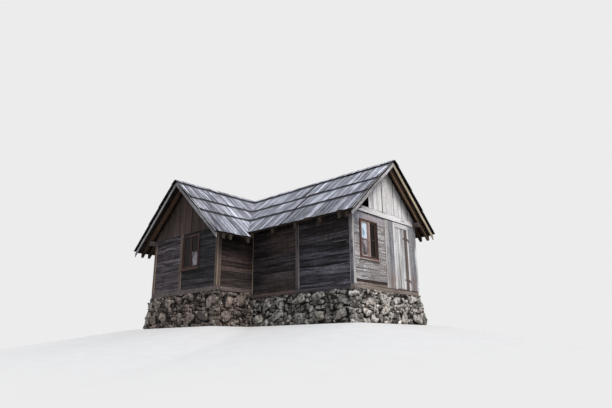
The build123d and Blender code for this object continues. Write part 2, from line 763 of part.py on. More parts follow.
def rake_boards():
    """Boards on edge that close the ends of the battens at each verge."""
    ends = {
        "x": (VERGE_OVERHANG - RAKE_INSET - RAKE_THICK,),
        "y": (WING_VERGE + RAKE_INSET, WING_BACK_VERGE - RAKE_INSET - RAKE_THICK),
    }
    plan = plan_of_slopes(SEAM)
    for name, slope in SLOPES.items():
        low = -EAVE_OVERHANG + RAFTER_SETBACK
        high = slope.half - SEAM
        drop = UPRIGHT * RAKE_DEPTH
        section = [
            (low, BOARD_LINE + SLOPE * low - drop),
            (high, BOARD_LINE + SLOPE * high - drop),
            (high, BOARD_LINE + SLOPE * high),
            (low, BOARD_LINE + SLOPE * low),
        ]
        for start in ends[slope.run]:
            board = slope.bar(section, start, start + RAKE_THICK)
            for outline in plan[name]:
                keep("rake_boards", *trimmed(board, outline))


def gable(name, across, wall, inward, low, half, foot, drop, beams, gap=None):
    """Upright boards that fill one gable up to the battens."""
    count = max(4, round(2 * half / GABLE_BOARD))
    step = 2 * half / count
    for index in range(count):
        left = low + index * step + SEAM
        right = low + (index + 1) * step - SEAM
        centre = low + half
        if gap and left < gap[1] and right > gap[0]:
            if right - gap[1] > step / 3:
                left = gap[1]
            elif gap[0] - left > step / 3:
                right = gap[0]
            else:
                continue

        def roof(a):
            """Height of the rafters' top over a place along the gable."""
            return RAFTER_TOP - drop + SLOPE * (half - abs(a - centre)) - SEAM

        outline = [(left, foot), (right, foot), (right, roof(right))]
        if left < centre < right:
            outline.append((centre, roof(centre)))
        outline.append((left, roof(left)))
        thick = inward * GABLE_BOARD_THICK
        if across == "y":
            board = prism([(wall, a, z) for a, z in outline], (thick, 0, 0))
        else:
            board = prism([(a, wall, z) for a, z in outline], (0, thick, 0))
        for beam in beams:
            board = board - beam
        keep(name, board)


def gables(beams):
    """The three boarded gables."""
    foot = PLATE_TOP + SEAM
    wing_foot = WING_PLATE_TOP + SEAM
    half = WING_WIDTH / 2
    gable("gable_main", "y", 0, -1, 0, MAIN_RIDGE, foot, 0, beams, (GAP_START, GAP_END))
    gable("gable_wing_front", "x", WING_FRONT, 1, WING_LEFT, half, wing_foot, WING_DROP, beams)
    gable("gable_wing_back", "x", BACK, -1, WING_LEFT, half, wing_foot, WING_DROP, beams)


def floors():
    """Joists between the sills, a floor in each room and the step between them."""
    main_top = SILL_HEIGHT - FLOOR_THICK
    wing_top = WING_SILL_TOP - FLOOR_THICK
    across = (POST + SEAM, BACK - POST - SEAM)
    keep("sills_wing", timber((INNER_LINE, WING_RIGHT), across, (0, wing_top)))
    keep("floor", block((WING_RIGHT + SEAM, -POST - SEAM), across, (main_top, SILL_HEIGHT)))
    span = MAIN_FRONT - POST
    count = max(2, round(span / JOIST_SPACING))
    for index in range(count):
        middle = WING_RIGHT + span * (index + 0.5) / count
        sides = (middle - JOIST_WIDTH / 2, middle + JOIST_WIDTH / 2)
        keep("floor_joists", block(sides, across, (0, main_top - SEAM)))
    wing_x = (WING_LEFT + POST + SEAM, INNER_LINE - SEAM)
    wing_y = (WING_FRONT + POST + SEAM, BACK - POST - SEAM)
    keep("floor", block(wing_x, wing_y, (wing_top, WING_SILL_TOP)))
    span = wing_y[1] - wing_y[0]
    count = max(2, round(span / JOIST_SPACING))
    for index in range(count):
        middle = wing_y[0] + span * (index + 0.5) / count
        sides = (middle - JOIST_WIDTH / 2, middle + JOIST_WIDTH / 2)
        keep("floor_joists", block(wing_x, sides, (WING_SILL_RISE, wing_top - SEAM)))


def main():
    """Build every piece, move it to the origin and write one file a node."""
    plinth()
    sills()
    junction = posts()
    walls()
    door_bay()
    door()
    windows()
    floors()
    beams = plates() + ridge_beams()
    valleys = valley_rafters(beams)
    rafters(beams)
    roof_covering()
    rake_boards()
    gables([*beams, *valleys, junction])
    os.makedirs("parts", exist_ok=True)
    move = Location(Vector(-ORIGIN[0], -ORIGIN[1], -ORIGIN[2]))
    for name, solids in pieces.items():
        placed = [move * solid for solid in solids]
        shape = placed[0] if len(placed) == 1 else Compound(children=placed)
        export_step(shape, f"parts/{name}.step")


main()
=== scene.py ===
import logging
import math
import zlib
from collections.abc import Callable
from dataclasses import dataclass, field
from enum import Enum

import bpy
import numpy as np
from mathutils import Matrix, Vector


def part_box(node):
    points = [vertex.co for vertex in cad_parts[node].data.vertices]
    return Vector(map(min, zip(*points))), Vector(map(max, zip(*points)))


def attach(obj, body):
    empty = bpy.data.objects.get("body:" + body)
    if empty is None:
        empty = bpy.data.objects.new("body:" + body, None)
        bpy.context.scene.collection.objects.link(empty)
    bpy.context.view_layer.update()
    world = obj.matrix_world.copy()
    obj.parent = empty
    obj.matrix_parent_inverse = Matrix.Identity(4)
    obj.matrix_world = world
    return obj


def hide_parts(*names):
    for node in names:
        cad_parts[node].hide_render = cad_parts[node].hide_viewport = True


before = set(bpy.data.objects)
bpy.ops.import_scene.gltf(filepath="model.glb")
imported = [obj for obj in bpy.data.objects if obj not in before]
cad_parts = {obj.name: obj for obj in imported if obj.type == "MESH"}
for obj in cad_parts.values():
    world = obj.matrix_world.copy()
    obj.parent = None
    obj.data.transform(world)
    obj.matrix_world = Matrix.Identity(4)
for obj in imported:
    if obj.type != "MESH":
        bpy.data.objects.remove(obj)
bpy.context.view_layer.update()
LOG = logging.getLogger("hut")

Array = np.ndarray
Colour = tuple[int, int, int]
Curve = Callable[[Array], Array]
Measure = float | Array | Curve
Socket = bpy.types.NodeSocket
Span = tuple[float, float]
Cell = tuple[float, float, float, float]

PITCH = math.radians(42.0)
SLOPE = math.tan(PITCH)
UPRIGHT = 1.0 / math.cos(PITCH)
UP = np.array((0.0, 0.0, 1.0))
EAST = np.array((1.0, 0.0, 0.0))
NORTH = np.array((0.0, 1.0, 0.0))
TURN = 6.28


class Body(str, Enum):
    """The bodies that pieces ride on."""

    CABIN = "cabin"
    DOOR = "door"


def linear(colour: Colour) -> tuple[float, ...]:
    """Turn a display colour of 0 to 255 into the linear values that a shader takes."""
    shown = np.array(colour) / 255.0
    values = np.where(shown <= 0.04045, shown / 12.92, ((shown + 0.055) / 1.055) ** 2.4)
    return tuple(float(value) for value in values)


def seeded(name: str) -> np.random.Generator:
    """Give the same random numbers each run for one name."""
    return np.random.default_rng(zlib.crc32(name.encode()))


def corners(node: str) -> tuple[Array, Array]:
    """Give a CAD node's lowest and highest corners as arrays."""
    low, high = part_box(node)
    return np.array(low), np.array(high)


def facets(node: str) -> tuple[Array, Array]:
    """Give a CAD node's points and the point numbers of its triangles."""
    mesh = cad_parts[node].data
    points = np.zeros(len(mesh.vertices) * 3)
    mesh.vertices.foreach_get("co", points)
    triangles = np.zeros(len(mesh.loops), int)
    mesh.loops.foreach_get("vertex_index", triangles)
    return points.reshape(-1, 3), triangles.reshape(-1, 3)


def joined(triangles: Array, count: int) -> Array:
    """Label points so that all those which triangles join share one label.

    Each point takes the lowest label among its triangles' corners, over and over, until none changes.

    Args:
        triangles: Three point numbers in each row.
        count: How many points there are.

    Returns:
        A label for each point.
    """
    label = np.arange(count)
    while True:
        fresh = label.copy()
        np.minimum.at(fresh, triangles.reshape(-1), np.repeat(label[triangles].min(axis=1), 3))
        if (fresh == label).all():
            return label
        label = fresh


def solids(node: str) -> list[tuple[Array, Array]]:
    """Give the box of each separate solid in a CAD node, from the lowest x, then y, then z."""
    points, triangles = facets(node)
    _, same = np.unique(points.round(5), axis=0, return_inverse=True)
    same = same.reshape(-1)
    label = joined(same[triangles], same.max() + 1)[same]
    parts = [points[label == one] for one in np.unique(label)]
    return sorted(((p.min(axis=0), p.max(axis=0)) for p in parts), key=lambda box: tuple(box[0].round(3)))


class Graph:
    """One shader node tree and short calls that place nodes in it."""

    def __init__(self, tree: bpy.types.NodeTree) -> None:
        self.tree = tree

    def node(self, kind: str, settings: dict | None = None, **inputs: object) -> bpy.types.Node:
        """Place a node.

        Args:
            kind: The node's type, without its ShaderNode prefix.
            settings: Values of the node's own properties.
            inputs: Sockets by name, with underscores for spaces, each a value or an output.

        Returns:
            The node.
        """
        placed = self.tree.nodes.new("ShaderNode" + kind)
        for key, value in (settings or {}).items():
            setattr(placed, key, value)
        for key, value in inputs.items():
            self.feed(placed.inputs[key.replace("_", " ")], value)
        return placed

    def feed(self, socket: Socket, value: object) -> None:
        """Link an output to a socket, or set the socket's own value."""
        if isinstance(value, Socket):
            self.tree.links.new(value, socket)
        elif isinstance(value, tuple) and socket.type == "RGBA":
            socket.default_value = (*linear(value), 1.0)
        else:
            socket.default_value = value

    def math(self, operation: str, *values: object) -> Socket:
        """Place a Math node and give its output."""
        placed = self.node("Math", {"operation": operation})
        for socket, value in zip(placed.inputs, values):
            self.feed(socket, value)
        return placed.outputs[0]

    def times(self, first: object, second: object) -> Socket:
        """Multiply two values."""
        return self.math("MULTIPLY", first, second)

    def sum_of(self, first: object, share: float, rest: object) -> Socket:
        """Add a share of the first value to the rest."""
        return self.math("MULTIPLY_ADD", first, share, rest)

    def span(self, value: object, low: float, high: float, first: float = 0.0,
             last: float = 1.0) -> Socket:
        """Map a value between two limits smoothly onto another range."""
        placed = self.node("MapRange", {"interpolation_type": "SMOOTHSTEP"})
        for socket, given in zip(placed.inputs, (value, low, high, first, last)):
            self.feed(socket, given)
        return placed.outputs[0]

    def blend(self, share: object, first: object, second: object) -> Socket:
        """Mix two colours by a share."""
        placed = self.node("Mix", {"data_type": "RGBA"})
        for index, value in ((0, share), (6, first), (7, second)):
            self.feed(placed.inputs[index], value)
        return placed.outputs[2]

    def scaled(self, colour: object, amount: object) -> Socket:
        """Make a colour, or a vector, larger or smaller by a factor."""
        value = linear(colour) if isinstance(colour, tuple) else colour
        return self.node("VectorMath", {"operation": "SCALE"}, Vector=value, Scale=amount).outputs[0]

    def vector(self, x: object, y: object, z: object = 0.0) -> Socket:
        """Join three values into a vector."""
        return self.node("CombineXYZ", X=x, Y=y, Z=z).outputs[0]

    def parts(self, vector: object) -> tuple[Socket, ...]:
        """Split a vector into its three values."""
        return tuple(self.node("SeparateXYZ", Vector=vector).outputs)

    def place(self) -> Socket:
        """Read the place in the object's own coordinates, which are the hut's."""
        return self.node("TexCoord").outputs["Object"]

    def upward(self) -> Socket:
        """Read how far a face looks upwards, from -1 to 1."""
        return self.parts(self.node("NewGeometry").outputs["Normal"])[2]

    def wear(self) -> tuple[Socket, ...]:
        """Read a piece's own three values, which set its wear and where shade is painted on it."""
        return self.parts(self.node("Attribute", {"attribute_name": "wear"}).outputs["Vector"])

    def noise(self, place: object, scale: float, detail: float = 3.0,
              rough: float = 0.55) -> Socket:
        """Read a noise between 0 and 1 at a place."""
        return self.node("TexNoise", Vector=place, Scale=scale, Detail=detail, Roughness=rough).outputs[0]

    def group(self, tree: bpy.types.NodeTree, **inputs: object) -> dict[str, Socket]:
        """Place a shared group and give its outputs by name."""
        placed = self.tree.nodes.new("ShaderNodeGroup")
        placed.node_tree = tree
        for key, value in inputs.items():
            self.feed(placed.inputs[key], value)
        return {socket.name: socket for socket in placed.outputs}


class Effects:
    """Shader groups that several finishes share, each built once."""

    def __init__(self) -> None:
        self.fibre = self.shared("fibre", ("Grain:VECTOR",), self.draw_fibre,
                                 ("Streaks", "Bands", "Broad", "Checks", "Knots", "Height"))
        self.wear = self.shared("arris_wear", ("Distance:FLOAT", "Reach:FLOAT", "Place:VECTOR"),
                                self.draw_wear)
        self.patches = self.shared("patches", ("Place:VECTOR", "Size:FLOAT"), self.draw_patches,
                                   ("Broad", "Speckle"))
        self.lichen = self.shared("lichen", ("Place:VECTOR", "Upward:FLOAT"), self.draw_lichen)
        self.drips = self.shared("drips", ("Place:VECTOR",), self.draw_drips)

    @staticmethod
    def shared(name: str, inputs: tuple[str, ...], draw: Callable[[Graph, dict], tuple],
               outputs: tuple[str, ...] = ("Mask",)) -> bpy.types.NodeTree:
        """Build one group.

        Args:
            name: The group's name.
            inputs: Sockets as name and kind with a colon between.
            draw: A function of the graph and its inputs that gives the outputs in order.
            outputs: Names of the values it puts out.

        Returns:
            The group's tree.
        """
        tree = bpy.data.node_groups.new(name, "ShaderNodeTree")
        for text in inputs:
            label, kind = text.split(":")
            tree.interface.new_socket(label, in_out="INPUT", socket_type=f"NodeSocket{kind.title()}")
        for label in outputs:
            tree.interface.new_socket(label, in_out="OUTPUT", socket_type="NodeSocketFloat")
        graph = Graph(tree)
        entry = tree.nodes.new("NodeGroupInput")
        leave = tree.nodes.new("NodeGroupOutput")
        values = draw(graph, {socket.name: socket for socket in entry.outputs})
        for label, value in zip(outputs, values):
            graph.feed(leave.inputs[label], value)
        return tree

    @staticmethod
    def draw_fibre(g: Graph, given: dict) -> tuple:
        """Long noises along the grain: streaks, two widths of bands, checks, knots and a height."""
        u, v, seed = g.parts(given["Grain"])
        bent = g.sum_of(g.noise(g.vector(g.times(u, 0.8), g.times(v, 2.2), seed), 1.0, 2.0), 0.035, v)

        def streaks(along: float, across: float, detail: float, rough: float = 0.55) -> Socket:
            """Read a noise stretched along the grain."""
            return g.noise(g.vector(g.times(u, along), g.times(bent, across), seed), 1.0, detail, rough)

        fine = streaks(4.0, 170.0, 4.0, 0.65)
        bands = streaks(0.9, 26.0, 3.0, 0.6)
        broad = streaks(0.7, 9.5, 2.0, 0.6)
        split = streaks(1.5, 60.0, 2.0)
        where = g.noise(g.vector(u, g.times(v, 4.0), seed), 1.3, 1.0)
        checks = g.times(g.span(split, 0.60, 0.66), g.span(where, 0.42, 0.60))
        dots = g.vector(g.times(u, 1.7), g.times(v, 5.5), seed)
        knots = g.span(g.node("TexVoronoi", Vector=dots, Scale=1.0).outputs[0], 0.05, 0.13, 1.0, 0.0)
        height = g.sum_of(checks, -0.9, g.sum_of(fine, 0.45, g.times(bands, 0.55)))
        return fine, bands, broad, checks, knots, height

    @staticmethod
    def draw_wear(g: Graph, given: dict) -> tuple:
        """A band beside an arris whose width is broken up by a noise."""
        ragged = g.noise(given["Place"], 9.0, 3.0)
        reach = g.times(given["Reach"], g.span(ragged, 0.3, 0.7, 0.25, 1.4))
        return (g.span(g.math("DIVIDE", given["Distance"], reach), 0.0, 1.0, 1.0, 0.0),)

    @staticmethod
    def draw_patches(g: Graph, given: dict) -> tuple:
        """Broad stains and a fine speckle from two noises of the place."""
        place = g.scaled(given["Place"], given["Size"])
        return g.span(g.noise(place, 0.9, 4.0), 0.38, 0.64), g.noise(place, 24.0, 4.0, 0.7)

    @staticmethod
    def draw_lichen(g: Graph, given: dict) -> tuple:
        """Blots of growth and dust that gather on faces that look upwards."""
        blots = g.span(g.noise(given["Place"], 5.5, 5.0, 0.7), 0.54, 0.66)
        crumbs = g.span(g.noise(given["Place"], 38.0, 3.0), 0.42, 0.6)
        return (g.times(g.times(blots, crumbs), g.span(given["Upward"], 0.1, 0.8)),)

    @staticmethod
    def draw_drips(g: Graph, given: dict) -> tuple:
        """Upright streaks that water leaves, broken up by a broad noise."""
        x, y, z = g.parts(given["Place"])
        run = g.math("ADD", x, y)
        streaks = g.noise(g.vector(g.times(run, 9.0), g.times(z, 0.9)), 1.0, 4.0, 0.6)
        broad = g.noise(given["Place"], 2.4, 3.0)
        return (g.times(g.span(streaks, 0.34, 0.56, 0.35, 1.0), g.span(broad, 0.3, 0.6, 0.4, 1.0)),)


EFFECTS = Effects()


@dataclass(frozen=True)
class Veil:
    """A stain of one colour, or painted shade where the finish names it so, that fades in between limits
    along some axes, broken up by drips.
    """

    colour: Colour
    spans: tuple[tuple[int, float, float], ...]
    share: float = 0.75


@dataclass(frozen=True)
class WearAndShade:
    """A colour along a piece's arrises or ends, with its reach and its share. On the roof's butts it is
    painted shadow with dirt.
    """

    colour: Colour
    reach: float
    share: float


@dataclass(frozen=True)
class Finish:
    """A procedural material for one kind of piece, built when it is first asked for."""

    name: str
    slot: str

    def material(self) -> bpy.types.Material:
        """Give the material, and build it the first time."""
        made = bpy.data.materials.get(self.name)
        if not made:
            made = bpy.data.materials.new(self.name)
            made.use_nodes = True
            self.draw(Graph(made.node_tree), made.node_tree.nodes["Principled BSDF"])
        return made

    def draw(self, g: Graph, shader: bpy.types.Node) -> None:
        """Place the finish's nodes and feed its shader."""
        raise NotImplementedError

    @staticmethod
    def coat(g: Graph, shader: bpy.types.Node, base: object, rough: object, bump: dict,
             shine: float = 0.25) -> None:
        """Feed a shader.

        Args:
            g: The material's graph.
            shader: Its Principled BSDF.
            base: The colour.
            rough: The roughness.
            bump: Strength, distance and height of the bump.
            shine: The specular level.
        """
        g.feed(shader.inputs["Base Color"], base)
        g.feed(shader.inputs["Roughness"], rough)
        g.feed(shader.inputs["Normal"], g.node("Bump", **bump).outputs[0])
        shader.inputs["Specular IOR Level"].default_value = shine


@dataclass(frozen=True)
class TimberFinish(Finish):
    """Weathered wood that follows each piece's own grain map."""

    pale: Colour
    dark: Colour
    stain: Colour
    stained: float = 0.35
    check: Colour = (20, 18, 17)
    arris: WearAndShade = WearAndShade((60, 58, 58), 0.006, 0.6)
    end: WearAndShade = WearAndShade((90, 86, 82), 0.03, 0.3)
    contrast: float = 1.0
    tones: Span = (0.78, 1.22)
    relief: float = 0.004
    rough: float = 0.86
    mottle: float = 0.12
    knots: float = 0.35
    knot: Colour = (40, 32, 28)
    under: Colour = (62, 47, 38)
    under_share: float = 0.0
    lichen: Colour = (122, 124, 112)
    veils: tuple[Veil, ...] = ()

    def draw(self, g: Graph, shader: bpy.types.Node) -> None:
        """Mix fibres into a base, stain it and lay its veils, which on the long walls include painted eave
        shade, and tone it, then wear its arrises and ends; on the roof the ends take painted shadow.
        """
        edge, end, tone = g.wear()
        place, upward = g.place(), g.upward()
        fibre = g.group(EFFECTS.fibre, Grain=g.node("UVMap", {"uv_map": "grain"}).outputs[0])
        patches = g.group(EFFECTS.patches, Place=place, Size=1.0)
        mixed = g.sum_of(fibre["Bands"], 0.38, g.times(fibre["Streaks"], 0.24))
        mixed = g.sum_of(fibre["Broad"], 0.38, mixed)
        half = 0.15 / self.contrast
        base = g.blend(g.span(mixed, 0.5 - half, 0.5 + half), self.dark, self.pale)
        base = g.blend(g.times(patches["Broad"], self.stained), base, self.stain)
        # A veil is a stain, except eave_shade, which is painted shade.
        for veil in self.veils:
            share = g.times(g.group(EFFECTS.drips, Place=place)["Mask"], veil.share)
            for axis, low, high in veil.spans:
                share = g.times(share, g.span(g.parts(place)[axis], low, high))
            base = g.blend(share, base, g.scaled(veil.colour, g.span(mixed, 0.3, 0.7, 0.62, 1.38)))
        base = g.scaled(base, g.span(tone, 0.0, 1.0, *self.tones))
        base = g.scaled(base, g.span(patches["Speckle"], 0.3, 0.7, 1.0 - self.mottle, 1.0 + self.mottle))
        base = g.blend(g.times(fibre["Knots"], self.knots), base, self.knot)
        for distance, wear in ((edge, self.arris), (end, self.end)):
            worn_and_shaded = g.group(EFFECTS.wear, Distance=distance, Reach=wear.reach, Place=place)["Mask"]
            base = g.blend(g.times(worn_and_shaded, wear.share), base, wear.colour)
        base = g.blend(g.times(fibre["Checks"], 0.8), base, self.check)
        below = g.scaled(self.under, g.span(mixed, 0.3, 0.7, 0.7, 1.3))
        base = g.blend(g.span(upward, -0.5, -0.15, self.under_share, 0.0), base, below)
        grown = g.group(EFFECTS.lichen, Place=place, Upward=upward)["Mask"]
        base = g.blend(g.times(grown, 0.28), base, self.lichen)
        rough = g.span(fibre["Streaks"], 0.2, 0.8, self.rough - 0.1, self.rough + 0.08)
        self.coat(g, shader, base, rough, dict(Strength=0.75, Distance=self.relief, Height=fibre["Height"]))


@dataclass(frozen=True)
class BareTimberFinish(Finish):
    """Wood of a CAD timber, whose grain runs along one direction that may fold at a ridge."""

    pale: Colour
    dark: Colour
    along: int = 0
    pitched: bool = False
    ridge: float = 0.0
    weathered_from: float = 99.0
    weathered: Colour = (54, 46, 40)
    bleached_from: float = 99.0
    bleached: Colour = (176, 152, 124)
    check: Colour = (24, 18, 15)

    def draw(self, g: Graph, shader: bpy.types.Node) -> None:
        """Run the grain along the timber, darken its foot with weathering and painted shade, and lighten its
        outer underside with bleaching and a painted highlight.
        """
        place = g.place()
        axes = list(g.parts(place))
        along = axes.pop(self.along)
        folded = g.math("ABSOLUTE", g.math("SUBTRACT", along, self.ridge))
        across = axes[1]
        if self.pitched:
            rise = axes.pop(1)
            cos, sin = math.cos(PITCH), math.sin(PITCH)
            along = g.math("SUBTRACT", g.times(folded, cos), g.times(rise, sin))
            across = g.sum_of(rise, cos, g.times(folded, sin))
        grain = g.vector(along, g.sum_of(axes[0], 1.7, across), axes[0])
        fibre = g.group(EFFECTS.fibre, Grain=grain)
        patches = g.group(EFFECTS.patches, Place=place, Size=1.6)
        mixed = g.sum_of(fibre["Bands"], 0.6, g.times(fibre["Streaks"], 0.4))
        base = g.blend(g.span(mixed, 0.34, 0.66), self.dark, self.pale)
        base = g.scaled(base, g.span(patches["Broad"], 0.0, 1.0, 0.82, 1.15))
        # The foot under the eaves darkens: weathering with painted shade.
        feet = g.span(folded, self.weathered_from, self.weathered_from + 0.25)
        base = g.blend(g.times(feet, 0.85), base, self.weathered)
        # The outer rafter's underside past the verge is lighter: bleaching with a painted highlight of its
        # lit face.
        outer = g.span(g.parts(place)[0], self.bleached_from, self.bleached_from + 0.02)
        shown = g.scaled(self.bleached, g.span(mixed, 0.3, 0.7, 0.7, 1.2))
        base = g.blend(g.times(g.times(g.span(g.upward(), -0.4, -0.6), outer), 0.85), base, shown)
        base = g.blend(g.times(fibre["Checks"], 0.75), base, self.check)
        rough = g.span(fibre["Streaks"], 0.2, 0.8, 0.74, 0.92)
        self.coat(g, shader, base, rough, dict(Strength=0.7, Distance=0.003, Height=fibre["Height"]))


@dataclass(frozen=True)
class StoneFinish(Finish):
    """Field stone whose tone and warmth come from each stone's own values, darkened into the joints by each
    point's depth: painted shade with soil.
    """

    pale: Colour
    dark: Colour
    warm: Colour
    tones: Span
    soil: Colour = (26, 22, 20)
    moss: Colour = (72, 76, 56)

    def draw(self, g: Graph, shader: bpy.types.Node) -> None:
        """Mix grains and veins, crack them, and darken them into the joints with painted shade and soil."""
        depth, warmth, tone = g.wear()
        place = g.place()
        shifted = g.node("VectorMath", {"operation": "ADD"}, Vector=place).outputs[0]
        g.feed(shifted.node.inputs[1], g.vector(g.times(tone, 7.0), g.times(warmth, 9.0)))
        grains = g.noise(shifted, 46.0, 5.0, 0.72)
        veins = g.noise(shifted, 11.0, 4.0, 0.6)
        cells = g.node("TexVoronoi", {"feature": "DISTANCE_TO_EDGE"}, Vector=shifted, Scale=9.0).outputs[0]
        cracks = g.times(g.span(cells, 0.0, 0.035, 1.0, 0.0), g.span(veins, 0.45, 0.62))
        mixed = g.sum_of(grains, 0.45, g.times(veins, 0.55))
        base = g.blend(g.span(mixed, 0.41, 0.57), self.dark, self.pale)
        base = g.blend(g.times(warmth, 0.45), base, self.warm)
        base = g.scaled(base, g.span(tone, 0.0, 1.0, *self.tones))
        grown = g.group(EFFECTS.lichen, Place=place, Upward=g.upward())["Mask"]
        base = g.blend(g.times(grown, 0.5), base, self.moss)
        base = g.blend(g.times(cracks, 0.7), base, self.soil)
        # The deeper a point lies behind the face, the darker: painted shade with soil.
        base = g.blend(g.span(depth, 0.022, 0.066), base, self.soil)
        relief = g.sum_of(grains, 0.5, g.sum_of(veins, 0.8, g.times(cracks, -0.8)))
        self.coat(g, shader, base, g.span(grains, 0.2, 0.8, 0.78, 0.96),
                  dict(Strength=0.8, Distance=0.010, Height=relief), 0.3)


@dataclass(frozen=True)
class PaneFinish(Finish):
    """Old window glass: a dusty sheen that paints the sky's pale reflection, clouded with painted shade of
    the dark room behind.
    """

    film: Colour
    dark: Colour
    cover: float
    through: float
    shine: float = 0.5

    def draw(self, g: Graph, shader: bpy.types.Node) -> None:
        """Cloud the painted reflection into the painted shade with a broad noise, and dirty both with a fine
        one.
        """
        place = g.place()
        clouds = g.noise(g.node("Mapping", Vector=place, Scale=(1.0, 1.0, 0.55)).outputs[0], 5.0, 4.0, 0.6)
        dirt = g.noise(place, 60.0, 4.0, 0.7)
        # The two colours are a painted sky reflection with dust, and painted shade.
        base = g.blend(g.span(clouds, 0.5 - self.cover, 0.62), self.film, self.dark)
        base = g.scaled(base, g.span(dirt, 0.3, 0.75, 0.88, 1.05))
        self.coat(g, shader, base, g.span(dirt, 0.35, 0.75, 0.06, 0.22),
                  dict(Strength=0.25, Distance=0.01, Height=g.noise(place, 3.0, 1.0)), self.shine)
        shader.inputs["Transmission Weight"].default_value = self.through
        shader.inputs["IOR"].default_value = 1.5


@dataclass(frozen=True)
class IronFinish(Finish):
    """Forged iron with rust in patches."""

    def draw(self, g: Graph, shader: bpy.types.Node) -> None:
        """Spread rust where broad patches and the speckle meet."""
        patches = g.group(EFFECTS.patches, Place=g.place(), Size=9.0)
        rust = g.times(patches["Broad"], g.span(patches["Speckle"], 0.35, 0.6))
        g.feed(shader.inputs["Metallic"], g.span(rust, 0.2, 0.9, 0.6, 0.1))
        self.coat(g, shader, g.blend(rust, (92, 88, 86), (112, 92, 80)), g.span(rust, 0.0, 1.0, 0.5, 0.9),
                  dict(Strength=0.6, Distance=0.0015, Height=patches["Speckle"]), 0.5)


